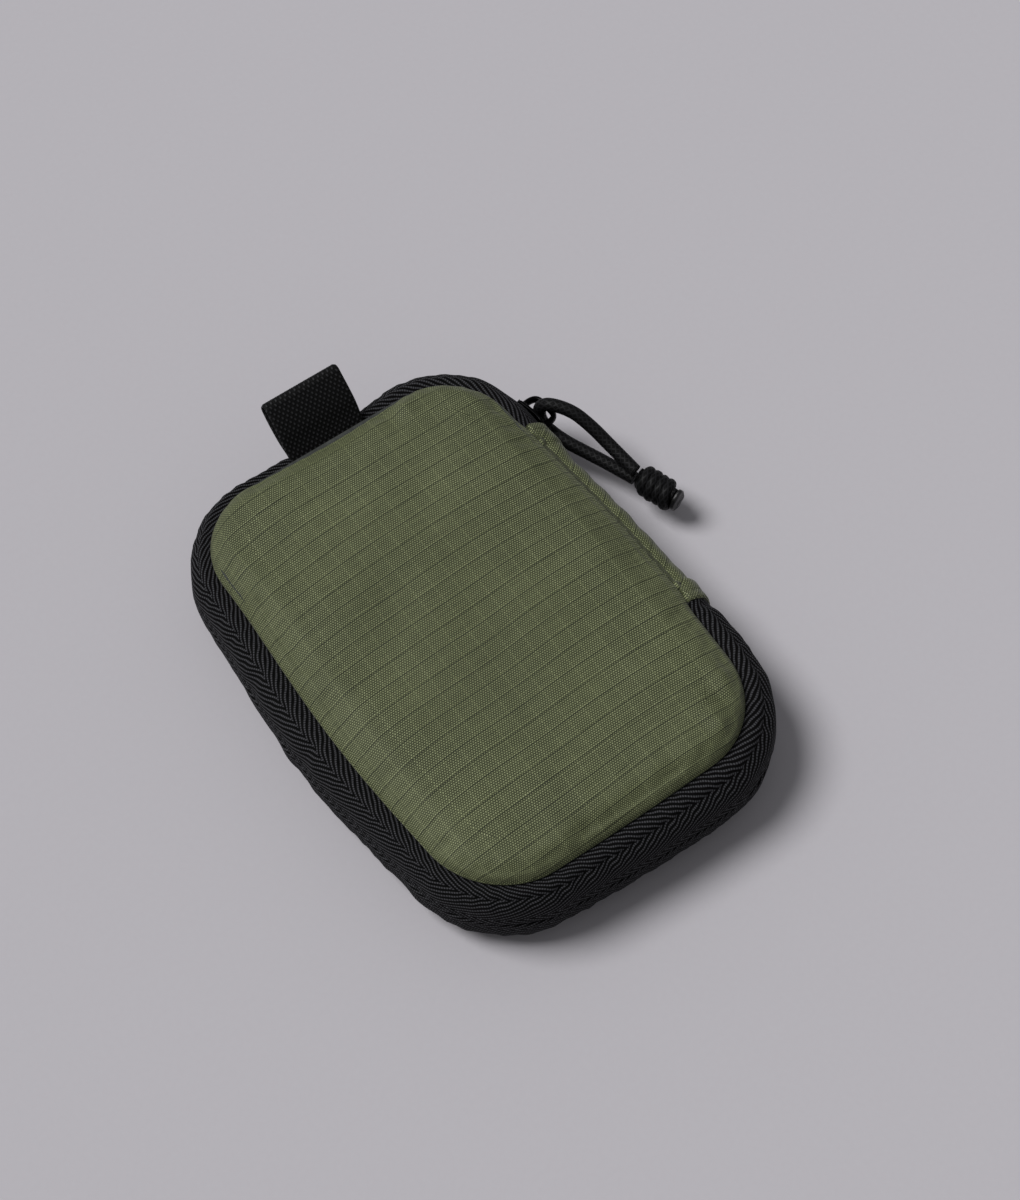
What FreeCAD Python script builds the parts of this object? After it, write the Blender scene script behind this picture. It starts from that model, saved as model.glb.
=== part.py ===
# Zip-around cable organizer pouch: a clamshell of two shallow padded fabric
# trays, joined by a fabric spine on one long side and closed by a reverse coil
# zipper whose two wide herringbone tapes are the side wall.
#
# Frame: millimetres, +Z up, origin on the resting face under the middle of the
# sewn outline. +X points to the spine, +Y to the end with the webbing loop.
import FreeCAD, Part
import math
import os
import Sketcher

V = FreeCAD.Vector
doc = FreeCAD.newDocument("CableOrganizerPouch")

# ---------------------------------------------------------------- dimensions
DIMS = [
    # sewn outline of the two panels
    ("seamWidth", 96.0), ("seamLength", 142.0), ("seamRadius", 23.0),
    # heights of the resting face, seams, zipper line and crown
    ("seamLow", 3.0), ("seamHigh", 27.0), ("zipLine", 15.0), ("totalHeight", 30.0),
    # outward bulge of the zipper tape wall, its thickness and the slit left for the slider
    ("wallBulge", 7.5), ("tapeThick", 0.8), ("zipSlit", 1.2), ("seamGap", 0.6),
    # padded panels
    ("skirtHeight", 3.5), ("skinThick", 0.8), ("rimInset", 2.0), ("crownFillet", 3.2),
    ("foamThick", 2.6), ("liningThick", 0.5), ("liningInset", 1.0), ("stackGap", 0.05),
    # bias binding over the inside seam allowance
    ("bindWidth", 2.8), ("bindHeight", 1.9), ("bindInset", 0.2),
    # nylon coil behind each tape edge
    ("coilDepth", 1.5), ("coilHeight", 1.7), ("coilClear", 0.7),
    # fabric spine on the +X side
    ("spineStart", -28.5), ("spineEnd", 42.5), ("cuffWidth", 7.0), ("cuffThick", 0.9),
    ("spineLiningThick", 0.6), ("hingeOffset", 4.0),
    # elastic cable loops stitched to the back lining
    ("loopPitch", 19.0), ("loopOuter", 8.0), ("elasticThick", 0.9), ("elasticWidth", 20.0),
    ("loopCount", 4.0), ("loopRowY", 26.0),
    # slip pocket on the back lining and mesh pocket on the front lining
    ("slipFloor", 9.2), ("slipMouth", -10.0), ("meshFloor", 21.4), ("meshMouth", 12.0),
    ("pocketThick", 0.6), ("pocketHalfWidth", 43.0), ("pocketEnd", -66.5), ("pocketRadius", 19.0),
    # slider
    ("sliderLead", -5.6), ("sliderSweep", 19.8), ("plateThick", 1.2), ("plateHalf", 4.4),
    ("innerPlateHalf", 3.6), ("plateClear", 0.35), ("webThick", 0.8), ("webSweep", 6.0),
    ("bailOpening", 4.4), ("bailThick", 1.4), ("bailHalf", 1.4), ("bailReach", 3.5),
    # pull
    ("cordDiameter", 3.8), ("knotDiameter", 10.4), ("knotLength", 14.2), ("knotWraps", 4.0),
    ("capThick", 1.3), ("capDiameter", 8.6),
    # webbing loop
    ("webbingWidth", 25.0), ("webbingThick", 1.3), ("loopLength", 16.5), ("loopGap", 1.8),
    ("loopAngle", 40.0), ("loopCentreX", 2.0), ("loopRoot", 1.8),
]
sheet = doc.addObject("Spreadsheet::Sheet", "Dimensions")
for i, (alias, value) in enumerate(DIMS, start=1):
    sheet.set("A%d" % i, alias)
    sheet.set("B%d" % i, repr(value))
    sheet.setAlias("B%d" % i, alias)
doc.recompute()
D = {alias: float(sheet.get(alias)) for alias, _ in DIMS}

SUBPARTS = []        # (label, object) in the order they are written


# ---------------------------------------------------------------- helpers
def plane(body, role):
    return [f for f in body.Origin.OriginFeatures if f.Role == role][0]


def outline_sketch(body, name, height, inset):
    """Rounded rectangle, the sewn outline moved in by an inset, at a height.
    height and inset are expressions in the sheet's aliases."""
    sk = body.newObject("Sketcher::SketchObject", name)
    sk.AttachmentSupport = [(plane(body, "XY_Plane"), "")]
    sk.MapMode = "FlatFace"
    sk.setExpression("AttachmentOffset.Base.z", height)
    a = D["seamWidth"] / 2 - 1
    b = D["seamLength"] / 2 - 1
    r = D["seamRadius"] - 1
    cx, cy = a - r, b - r
    n = V(0, 0, 1)
    sk.addGeometry([
        Part.LineSegment(V(-cx, -b, 0), V(cx, -b, 0)),
        Part.ArcOfCircle(Part.Circle(V(cx, -cy, 0), n, r), -math.pi / 2, 0),
        Part.LineSegment(V(a, -cy, 0), V(a, cy, 0)),
        Part.ArcOfCircle(Part.Circle(V(cx, cy, 0), n, r), 0, math.pi / 2),
        Part.LineSegment(V(cx, b, 0), V(-cx, b, 0)),
        Part.ArcOfCircle(Part.Circle(V(-cx, cy, 0), n, r), math.pi / 2, math.pi),
        Part.LineSegment(V(-a, cy, 0), V(-a, -cy, 0)),
        Part.ArcOfCircle(Part.Circle(V(-cx, -cy, 0), n, r), math.pi, 1.5 * math.pi),
    ], False)
    C = Sketcher.Constraint
    for i in range(8):
        sk.addConstraint(C("Tangent", i, 2, (i + 1) % 8, 1))
    for i in (0, 4):
        sk.addConstraint(C("Horizontal", i))
    for i in (2, 6):
        sk.addConstraint(C("Vertical", i))
    for i in (3, 5, 7):
        sk.addConstraint(C("Equal", 1, i))
    sk.addConstraint(C("Symmetric", 1, 3, 5, 3, -1, 1))
    for key, con, expr in (
            ("cornerRadius", C("Radius", 1, r), "Dimensions.seamRadius - (%s)" % inset),
            ("spanX", C("DistanceX", 7, 3, 1, 3, 2 * cx), "Dimensions.seamWidth - 2 * Dimensions.seamRadius"),
            ("spanY", C("DistanceY", 1, 3, 3, 3, 2 * cy), "Dimensions.seamLength - 2 * Dimensions.seamRadius")):
        idx = sk.addConstraint(con)
        sk.renameConstraint(idx, key)
        sk.setExpression("Constraints." + key, expr)
    return sk


def new_body(label):
    body = doc.addObject("PartDesign::Body", label)
    body.Label = label
    body.Placement = FreeCAD.Placement(V(0, 0, 0), FreeCAD.Rotation())
    SUBPARTS.append((label, body))
    return body


def pad(body, name, sketch, length, reverse=False):
    p = body.newObject("PartDesign::Pad", name)
    p.Profile = sketch
    p.setExpression("Length", length)
    p.Reversed = reverse
    sketch.Visibility = False
    return p


def slab(label, base, thickness, inset):
    """A flat layer with the sewn outline."""
    body = new_body(label)
    sk = outline_sketch(body, label + "_outline", base, inset)
    pad(body, label + "_pad", sk, thickness)
    return body


def panel(label, crown_up):
    """Outer fabric panel: a shallow shell with a rolled rim and a hollow for its foam."""
    body = new_body(label)
    base = "Dimensions.totalHeight - Dimensions.skirtHeight" if crown_up else "0 * Dimensions.skirtHeight"
    sk = outline_sketch(body, label + "_outline", base, "0 * Dimensions.rimInset")
    first = pad(body, label + "_pad", sk, "Dimensions.skirtHeight")
    doc.recompute()
    level = D["totalHeight"] if crown_up else 0.0
    names = ["Edge%d" % (i + 1) for i, e in enumerate(first.Shape.Edges)
             if all(abs(v.Z - level) < 1e-6 for v in e.Vertexes)]
    fil = body.newObject("PartDesign::Fillet", label + "_rolled_rim")
    fil.Base = (first, names)
    fil.setExpression("Radius", "Dimensions.crownFillet" if crown_up else "Dimensions.crownFillet * 0.75")
    hollow = outline_sketch(body, label + "_hollow", base if crown_up else "Dimensions.skirtHeight",
                            "Dimensions.rimInset")
    cut = body.newObject("PartDesign::Pocket", label + "_foam_hollow")
    cut.Profile = hollow
    cut.setExpression("Length", "Dimensions.skirtHeight - Dimensions.skinThick")
    cut.Reversed = crown_up
    hollow.Visibility = False
    doc.recompute()
    before = first.Shape.Volume
    if cut.Shape.Volume > before * 0.6:
        raise RuntimeError("the foam hollow of %s cut nothing" % label)
    return body


def feature(label, shape):
    obj = doc.addObject("Part::Feature", label)
    obj.Label = label
    obj.Shape = shape
    obj.Placement = FreeCAD.Placement(V(0, 0, 0), FreeCAD.Rotation())
    SUBPARTS.append((label, obj))
    return obj


# ---------------------------------------------------------------- sewn outline as a path
CX = D["seamWidth"] / 2 - D["seamRadius"]
CY = D["seamLength"] / 2 - D["seamRadius"]
HX = D["seamWidth"] / 2
HY = D["seamLength"] / 2
RS = D["seamRadius"]


def wall_path(start, end, first_angle=None):
    """Runs and corner arcs of the sewn outline, counterclockwise from y=start on
    the +X side (or from an angle on the first corner) back to y=end on that side."""
    segs = []
    if first_angle is None:
        segs.append(("run", V(HX, start, 0), V(HX, CY, 0), V(1, 0, 0)))
        segs.append(("arc", V(CX, CY, 0), 0.0, 90.0))
    elif first_angle < 90:
        segs.append(("arc", V(CX, CY, 0), first_angle, 90.0))
    x_from = CX if first_angle is None or first_angle <= 90 else CX - (first_angle - 90) / 90 * RS
    segs.append(("run", V(x_from, HY, 0), V(-CX, HY, 0), V(0, 1, 0)))
    segs.append(("arc", V(-CX, CY, 0), 90.0, 180.0))
    segs.append(("run", V(-HX, CY, 0), V(-HX, -CY, 0), V(-1, 0, 0)))
    segs.append(("arc", V(-CX, -CY, 0), 180.0, 270.0))
    segs.append(("run", V(-CX, -HY, 0), V(CX, -HY, 0), V(0, -1, 0)))
    segs.append(("arc", V(CX, -CY, 0), 270.0, 360.0))
    segs.append(("run", V(HX, -CY, 0), V(HX, end, 0), V(1, 0, 0)))
    return segs


def sweep_wall(section, segs):
    """Sweeps a section along runs and corner arcs of the outline. The section is a
    function of (foot point, outward normal) giving a closed wire."""
    parts = []
    for s in segs:
        if s[0] == "run":
            face = Part.Face(section(s[1], s[3]))
            parts.append(face.extrude(s[2] - s[1]))
        else:
            a0, a1 = math.radians(s[2]), math.radians(s[3])
            n = V(math.cos(a0), math.sin(a0), 0)
            face = Part.Face(section(s[1] + n * RS, n))
            parts.append(face.revolve(s[1], V(0, 0, 1), s[3] - s[2]))
    solid = parts[0]
    if len(parts) > 1:
        solid = parts[0].multiFuse(parts[1:]).removeSplitter()
    solids = solid.Solids
    if len(solids) != 1:
        raise RuntimeError("a swept wall came out as %d solids" % len(solids))
    return solids[0]


def box_section(o0, o1, z0, z1):
    def make(foot, n):
        pts = [foot + n * o + V(0, 0, z) for o, z in ((o0, z0), (o1, z0), (o1, z1), (o0, z1), (o0, z0))]
        return Part.makePolygon(pts)
    return make


# the wall's own section: an arc through both seams and the bulge at the zipper line
HALF = (D["seamHigh"] - D["seamLow"]) / 2
ZC = D["zipLine"]
WR = (HALF ** 2 + D["wallBulge"] ** 2) / (2 * D["wallBulge"])
WO = D["wallBulge"] - WR
TOP_ANGLE = math.asin((HALF - D["seamGap"]) / WR)


def arc_section(r0, r1, a0, a1):
    """Band between radii r0 and r1 about the wall arc's centre, between two angles."""
    def make(foot, n):
        def p(r, a):
            return foot + n * (WO + r * math.cos(a)) + V(0, 0, ZC + r * math.sin(a))
        am = (a0 + a1) / 2
        return Part.Wire([
            Part.Arc(p(r1, a0), p(r1, am), p(r1, a1)).toShape(),
            Part.LineSegment(p(r1, a1), p(r0, a1)).toShape(),
            Part.Arc(p(r0, a1), p(r0, am), p(r0, a0)).toShape(),
            Part.LineSegment(p(r0, a0), p(r1, a0)).toShape(),
        ])
    return make


# ---------------------------------------------------------------- back (lower) half
# Outer panel: ripstop shell that the pouch lies on, its rim turned up to the seam.
panel("back_panel", False)
# Foam sheet inside the panel.
slab("back_foam", "Dimensions.skinThick + Dimensions.stackGap", "Dimensions.foamThick",
     "Dimensions.rimInset + 0.1")
# Lining sheet over the foam, with the loops and the slip pocket stitched to it.
slab("back_lining", "Dimensions.skirtHeight + Dimensions.stackGap", "Dimensions.liningThick",
     "Dimensions.liningInset")

LIN = D["skirtHeight"] + D["stackGap"] + D["liningThick"]        # top of the back lining
bz = LIN + D["stackGap"]
full = [("run", V(HX, -CY, 0), V(HX, CY, 0), V(1, 0, 0)), ("arc", V(CX, CY, 0), 0.0, 90.0),
        ("run", V(CX, HY, 0), V(-CX, HY, 0), V(0, 1, 0)), ("arc", V(-CX, CY, 0), 90.0, 180.0),
        ("run", V(-HX, CY, 0), V(-HX, -CY, 0), V(-1, 0, 0)), ("arc", V(-CX, -CY, 0), 180.0, 270.0),
        ("run", V(-CX, -HY, 0), V(CX, -HY, 0), V(0, -1, 0)), ("arc", V(CX, -CY, 0), 270.0, 360.0)]
bo1 = -D["bindInset"]
bo0 = bo1 - D["bindWidth"]
# Binding over the raw seam allowance, all round the inside of the back tray.
feature("back_seam_binding", sweep_wall(box_section(bo0, bo1, bz, bz + D["bindHeight"]), full))

# Lower zipper tape: from under one spine cuff round three sides to the other cuff.
slit_angle = math.asin(D["zipSlit"] / 2 / WR)
tape_in, tape_out = WR - D["tapeThick"], WR
under_top = D["spineEnd"] - D["cuffWidth"] + 0.5
under_low = D["spineStart"] + D["cuffWidth"] - 0.5
lower_tape = sweep_wall(arc_section(tape_in, tape_out, -TOP_ANGLE, -slit_angle),
                        wall_path(under_top, under_low))
feature("zip_tape_lower", lower_tape)
COIL_START = 18.0        # the rows begin past the parked slider, degrees round the first corner
# Lower row of the coil, sewn to the inside of the tape's free edge.
coil_o1 = WO + tape_in * math.cos(math.asin((D["coilClear"] + D["coilHeight"]) / tape_in)) - 0.1
coil_o0 = coil_o1 - D["coilDepth"]
feature("zip_coil_lower", sweep_wall(
    box_section(coil_o0, coil_o1, ZC - D["coilClear"] - D["coilHeight"], ZC - D["coilClear"]),
    wall_path(under_top, under_low, COIL_START)))

# Elastic band stitched down between cable loops, across the +Y half of the tray.
def loop_band():
    t, ro, pitch = D["elasticThick"], D["loopOuter"], D["loopPitch"]
    count = int(D["loopCount"])
    y0 = D["loopRowY"] - D["elasticWidth"] / 2
    z0 = bz
    faces = []
    x_first = -pitch * (count - 1) / 2
    for k in range(count):
        xc = x_first + k * pitch
        def p(r, a):
            return V(xc + r * math.cos(a), y0, z0 + r * math.sin(a))
        faces.append(Part.Face(Part.Wire([
            Part.Arc(p(ro, 0), p(ro, math.pi / 2), p(ro, math.pi)).toShape(),
            Part.LineSegment(p(ro, math.pi), p(ro - t, math.pi)).toShape(),
            Part.Arc(p(ro - t, math.pi), p(ro - t, math.pi / 2), p(ro - t, 0)).toShape(),
            Part.LineSegment(p(ro - t, 0), p(ro, 0)).toShape()])))
    x_end = x_first + pitch * (count - 1)
    feet = [(x_first + k * pitch + ro - t / 2, x_first + (k + 1) * pitch - ro + t / 2) for k in range(count - 1)]
    feet = [(x_first - ro - 3.0, x_first - ro + t / 2)] + feet + [(x_end + ro - t / 2, x_end + ro + 3.0)]
    for xa, xb in feet:
        faces.append(Part.Face(Part.makePolygon([V(xa, y0, z0), V(xb, y0, z0), V(xb, y0, z0 + t),
                                                 V(xa, y0, z0 + t), V(xa, y0, z0)])))
    solids = [f.extrude(V(0, D["elasticWidth"], 0)) for f in faces]
    out = solids[0].multiFuse(solids[1:]).removeSplitter()
    return out.Solids[0] if len(out.Solids) == 1 else out


feature("elastic_cable_loops", loop_band())


def pocket_outline(z, inset, mouth):
    """U-shaped outline of a pocket that is open at its +Y edge."""
    w = D["pocketHalfWidth"] - inset
    e = D["pocketEnd"] + inset
    r = D["pocketRadius"] - inset
    c = math.cos(math.pi / 4) * r
    return Part.Face(Part.Wire([
        Part.LineSegment(V(w, mouth, z), V(-w, mouth, z)).toShape(),
        Part.LineSegment(V(-w, mouth, z), V(-w, e + r, z)).toShape(),
        Part.Arc(V(-w, e + r, z), V(-w + r - c, e + r - c, z), V(-w + r, e, z)).toShape(),
        Part.LineSegment(V(-w + r, e, z), V(w - r, e, z)).toShape(),
        Part.Arc(V(w - r, e, z), V(w - r + c, e + r - c, z), V(w, e + r, z)).toShape(),
        Part.LineSegment(V(w, e + r, z), V(w, mouth, z)).toShape()]))


def pocket(z_sheet, z_root, mouth):
    """A bellows pocket: a sheet held off the lining by its three sewn sides."""
    t = D["pocketThick"]
    if z_root < z_sheet:      # stands up from the back lining
        outer = pocket_outline(z_root, 0, mouth).extrude(V(0, 0, z_sheet + t - z_root))
        inner = pocket_outline(z_root - 1, t, mouth + 5).extrude(V(0, 0, z_sheet - z_root + 1))
    else:                     # hangs under the front lining
        outer = pocket_outline(z_sheet - t, 0, mouth).extrude(V(0, 0, z_root - z_sheet + t))
        inner = pocket_outline(z_sheet, t, mouth + 5).extrude(V(0, 0, z_root - z_sheet + 1))
    return outer.cut(inner).Solids[0]


def edge_band(z0, z1, y0, y1):
    w = D["pocketHalfWidth"]
    return Part.makeBox(2 * w, y1 - y0, z1 - z0, V(-w, y0, z0))


feature("slip_pocket", pocket(D["slipFloor"], bz, D["slipMouth"]))
feature("slip_pocket_hem", edge_band(D["slipFloor"] + 0.05, D["slipFloor"] + 1.35,
                                     D["slipMouth"] + 0.05, D["slipMouth"] + 5.0))

# ---------------------------------------------------------------- spine (fabric hinge)
def wall_strip(r0, r1, y0, y1, a0, a1):
    face = Part.Face(arc_section(r0, r1, a0, a1)(V(HX, y0, 0), V(1, 0, 0)))
    return face.extrude(V(0, y1 - y0, 0))


# Green outer spine between the cuffs.
cuff = D["cuffWidth"]
feature("spine_panel", wall_strip(tape_in, tape_out, D["spineStart"] + cuff, D["spineEnd"] - cuff,
                                  -TOP_ANGLE, TOP_ANGLE))
# Hemmed ends of the spine, folded over the tape ends as zipper garages.
co0, co1 = tape_out + 0.05, tape_out + 0.05 + D["cuffThick"]
cuffs = Part.makeCompound([
    wall_strip(co0, co1, D["spineStart"], D["spineStart"] + cuff, -TOP_ANGLE, TOP_ANGLE),
    wall_strip(co0, co1, D["spineEnd"] - cuff, D["spineEnd"], -TOP_ANGLE, TOP_ANGLE)])
feature("spine_cuffs", cuffs)
# Lining strip behind the spine.
li1 = tape_in - 0.1
feature("spine_lining", wall_strip(li1 - D["spineLiningThick"], li1, D["spineStart"] + cuff,
                                   D["spineEnd"] - cuff, -TOP_ANGLE, TOP_ANGLE))

# ---------------------------------------------------------------- front (upper) half
panel("front_panel", True)
slab("front_foam", "Dimensions.totalHeight - Dimensions.skinThick - Dimensions.stackGap - Dimensions.foamThick",
     "Dimensions.foamThick", "Dimensions.rimInset + 0.1")
slab("front_lining", "Dimensions.totalHeight - Dimensions.skirtHeight - Dimensions.stackGap - Dimensions.liningThick",
     "Dimensions.liningThick", "Dimensions.liningInset")
fz = D["totalHeight"] - bz
feature("front_seam_binding", sweep_wall(box_section(bo0, bo1, fz - D["bindHeight"], fz), full))

# Upper zipper tape: the long stretch, and the short run that the slider opens first.
upper_section = arc_section(tape_in, tape_out, slit_angle, TOP_ANGLE)
feature("zip_tape_upper", sweep_wall(upper_section, wall_path(under_top, under_low, 97.0)))
run_end = CX - (97.0 - 90.0) / 90.0 * RS
feature("zip_tape_upper_run", sweep_wall(upper_section, [
    ("run", V(HX, under_top, 0), V(HX, CY, 0), V(1, 0, 0)), ("arc", V(CX, CY, 0), 0.0, 90.0),
    ("run", V(CX, HY, 0), V(run_end + 0.05, HY, 0), V(0, 1, 0))]))
feature("zip_coil_upper", sweep_wall(
    box_section(coil_o0, coil_o1, ZC + D["coilClear"], ZC + D["coilClear"] + D["coilHeight"]),
    wall_path(under_top, under_low, COIL_START)))

# Mesh pocket and its elastic edge.
feature("mesh_pocket", pocket(D["meshFloor"], fz, D["meshMouth"]))
feature("mesh_pocket_hem", edge_band(D["meshFloor"] - 1.35, D["meshFloor"] - 0.05,
                                     D["meshMouth"] + 0.05, D["meshMouth"] + 5.0))

# ---------------------------------------------------------------- slider
# Its plates follow the corner that it runs round, so every face is turned about
# the corner's upright axis.
CORNER = V(CX, CY, 0)


def turned(rho0, rho1, z0, z1, a0, a1):
    n = V(math.cos(math.radians(a0)), math.sin(math.radians(a0)), 0)
    pts = [CORNER + n * r + V(0, 0, z) for r, z in ((rho0, z0), (rho1, z0), (rho1, z1), (rho0, z1), (rho0, z0))]
    return Part.Face(Part.makePolygon(pts)).revolve(CORNER, V(0, 0, 1), a1 - a0)


wall_r = RS + D["wallBulge"]
s0 = D["sliderLead"]
s1 = s0 + D["sliderSweep"]
sm = (s0 + s1) / 2
op0 = wall_r + D["plateClear"]
op1 = op0 + D["plateThick"]
ip1 = RS + coil_o0 - D["plateClear"]
ip0 = ip1 - D["plateThick"]
ph, ih = D["plateHalf"], D["innerPlateHalf"]
w2 = D["webThick"] / 2
slider = turned(op0, op1, ZC - ph, ZC + ph, s0, s1)
slider = slider.multiFuse([
    turned(ip0, ip1, ZC - ih, ZC + ih, s0 + 1.0, s1 - 1.0),
    turned(ip0 + 0.3, op0 + 0.3, ZC - w2, ZC + w2, s0 + 1.0, s0 + 1.0 + D["webSweep"]),
]).removeSplitter().Solids[0]
feature("slider_body", slider)

# Bail: a bridge along the slider with an opening for the cord.
deg = 180.0 / math.pi
br0 = op1 + 0.02
br1 = br0 + D["bailOpening"]
br2 = br1 + D["bailThick"]
half_open = D["bailReach"] / wall_r * deg
foot = D["bailThick"] / wall_r * deg
bh = D["bailHalf"]
bail = turned(br1, br2, ZC - bh, ZC + bh, sm - half_open - foot, sm + half_open + foot)
bail = bail.multiFuse([
    turned(br0, br1 + 0.1, ZC - bh, ZC + bh, sm - half_open - foot, sm - half_open),
    turned(br0, br1 + 0.1, ZC - bh, ZC + bh, sm + half_open, sm + half_open + foot),
]).removeSplitter().Solids[0]
feature("slider_bail", bail)

# ---------------------------------------------------------------- pull: cord loop, knot, fused ends
# The cord is one length folded through the bail. Both legs end in a four-wrap
# barrel knot. The swing axis is the upright line through the fold.
fold_r = br0 + D["bailOpening"] / 2
FOLD = CORNER + V(math.cos(math.radians(sm)), math.sin(math.radians(sm)), 0) * fold_r
print("fold axis at x %.3f y %.3f, hinge axis at x %.3f" % (FOLD.x, FOLD.y, HX + D["wallBulge"] + D["hingeOffset"]))

# Route of the loop, in order: knot, lower leg, fold, upper leg, knot.
CORD = [
    V(69.90, 19.90, 8.75),
    V(67.20, 27.20, 8.90),
    V(64.20, 34.40, 9.20),
    V(60.90, 41.90, 9.60),
    V(FOLD.x, FOLD.y, 10.20),
    V(FOLD.x, FOLD.y, 19.80),
    V(64.30, 43.40, 20.30),
    V(66.90, 36.90, 17.60),
    V(68.90, 29.00, 13.90),
    V(69.90, 19.90, 12.65),
]
KNOT_DIR = V(0.326, -0.943, -0.050)
KNOT_DIR.normalize()
KNOT_NEAR = V(69.90, 19.90, 10.70) + KNOT_DIR * 0.75


def cord_wire(points):
    """Straight runs joined by tangent arcs, each as large as its two runs allow."""
    edges, radii = [], []
    last = points[0]
    for i in range(1, len(points) - 1):
        p0, p1, p2 = points[i - 1], points[i], points[i + 1]
        u = (p0 - p1).normalize()
        w = (p2 - p1).normalize()
        turn = math.pi - u.getAngle(w)
        run = min((p1 - p0).Length, (p2 - p1).Length)
        radius = 0.45 * run / math.tan(turn / 2)
        t = 0.45 * run
        a, b = p1 + u * t, p1 + w * t
        bis = (u + w).normalize()
        centre = p1 + bis * (radius / math.cos(turn / 2))
        mid = centre - bis * radius
        edges.append(Part.LineSegment(last, a).toShape())
        edges.append(Part.Arc(a, mid, b).toShape())
        radii.append(radius)
        last = b
    edges.append(Part.LineSegment(last, points[-1]).toShape())
    return Part.Wire(edges), radii


def cord_tube(points, diameter):
    wire, radii = cord_wire(points)
    start = points[0]
    direction = (points[1] - points[0]).normalize()
    ring = Part.Wire([Part.Circle(start, direction, diameter / 2).toShape()])
    tube = wire.makePipeShell([ring], True, False)
    return tube, wire.Length, radii


tube, cord_length, radii = cord_tube(CORD, D["cordDiameter"])
print("cord radii", " ".join("%.1f" % r for r in radii))
print("cord length %.1f, volume ratio %.4f" % (
    cord_length, tube.Volume / (math.pi * D["cordDiameter"] ** 2 / 4 * cord_length)))
feature("pull_cord", tube.Solids[0] if tube.Solids else tube)


def knot_solid():
    """Barrel knot: four wraps side by side, turned about the knot's own axis."""
    n = int(D["knotWraps"])
    pitch = D["knotLength"] / n
    outer = D["knotDiameter"] / 2
    edges = []
    z = 0.0
    core = outer - pitch * 0.42
    edges.append(Part.LineSegment(V(0, 0, 0), V(core, 0, 0)).toShape())
    for k in range(n):
        a = V(core, 0, z)
        b = V(core, 0, z + pitch)
        edges.append(Part.Arc(a, V(outer, 0, z + pitch / 2), b).toShape())
        z += pitch
    edges.append(Part.LineSegment(V(core, 0, z), V(0, 0, z)).toShape())
    edges.append(Part.LineSegment(V(0, 0, z), V(0, 0, 0)).toShape())
    return Part.Face(Part.Wire(edges)).revolve(V(0, 0, 0), V(0, 0, 1), 360)


knot = knot_solid()
knot = knot.Solids[0] if knot.Solids else knot
knot_obj = doc.addObject("Part::Feature", "pull_knot")
knot_obj.Label = "pull_knot"
knot_obj.Shape = knot
knot_obj.Placement = FreeCAD.Placement(KNOT_NEAR, FreeCAD.Rotation(V(0, 0, 1), KNOT_DIR))
SUBPARTS.append(("pull_knot", knot_obj))

cap = doc.addObject("Part::Cylinder", "cord_fused_ends")
cap.Label = "cord_fused_ends"
cap.setExpression("Radius", "Dimensions.capDiameter / 2")
cap.setExpression("Height", "Dimensions.capThick")
cap.Placement = FreeCAD.Placement(KNOT_NEAR + KNOT_DIR * (D["knotLength"] + 0.02),
                                  FreeCAD.Rotation(V(0, 0, 1), KNOT_DIR))
SUBPARTS.append(("cord_fused_ends", cap))

# ---------------------------------------------------------------- webbing loop
# Two plies of webbing folded over at the tip, rooted in the front seam at the +Y end.
AXIS_Y, AXIS_Z = HY + 0.6, D["seamHigh"] + 0.4


def webbing_face():
    t, g = D["webbingThick"], D["loopGap"] / 2
    length, root = D["loopLength"], D["loopRoot"]
    ro = g + t
    tip = length - ro
    neck = root + 4.0
    ang = math.radians(D["loopAngle"])
    ux, uz = math.cos(ang), math.sin(ang)
    x0 = D["loopCentreX"] - D["webbingWidth"] / 2

    def p(a, b):
        # a along the loop, b across its thickness
        return V(x0, AXIS_Y + a * ux - b * uz, AXIS_Z + a * uz + b * ux)
    outer = [
        Part.LineSegment(p(root, -t), p(neck, -ro)).toShape(),
        Part.LineSegment(p(neck, -ro), p(tip, -ro)).toShape(),
        Part.Arc(p(tip, -ro), p(tip + ro, 0), p(tip, ro)).toShape(),
        Part.LineSegment(p(tip, ro), p(neck, ro)).toShape(),
        Part.LineSegment(p(neck, ro), p(root, t)).toShape(),
        Part.LineSegment(p(root, t), p(root, -t)).toShape()]
    inner = [
        Part.LineSegment(p(neck - 0.4, 0), p(neck + 1.0, -g)).toShape(),
        Part.LineSegment(p(neck + 1.0, -g), p(tip, -g)).toShape(),
        Part.Arc(p(tip, -g), p(tip + g, 0), p(tip, g)).toShape(),
        Part.LineSegment(p(tip, g), p(neck + 1.0, g)).toShape(),
        Part.LineSegment(p(neck + 1.0, g), p(neck - 0.4, 0)).toShape()]
    return Part.Face(Part.Wire(outer)).cut(Part.Face(Part.Wire(inner))).Faces[0]


feature("webbing_loop", webbing_face().extrude(V(D["webbingWidth"], 0, 0)))

# ---------------------------------------------------------------- test and write
doc.recompute()
bad = []
for obj in doc.Objects:
    state = list(obj.State)
    if "Invalid" in state or "Error" in state:
        bad.append("%s: %s" % (obj.Name, state))
for label, obj in SUBPARTS:
    if obj.Shape.isNull() or not obj.Shape.isValid() or obj.Shape.Volume <= 0:
        bad.append("%s: shape null, invalid or empty" % label)
if bad:
    raise RuntimeError("; ".join(bad))
os.makedirs("parts", exist_ok=True)
for label, obj in SUBPARTS:
    obj.Shape.exportStep("parts/%s.step" % label)
    b = obj.Shape.BoundBox
    print("%-22s solids %d  vol %9.1f  x %7.2f %7.2f  y %7.2f %7.2f  z %6.2f %6.2f" % (
        label, len(obj.Shape.Solids), obj.Shape.Volume, b.XMin, b.XMax, b.YMin, b.YMax, b.ZMin, b.ZMax))
print("parts written:", len(SUBPARTS))
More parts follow.
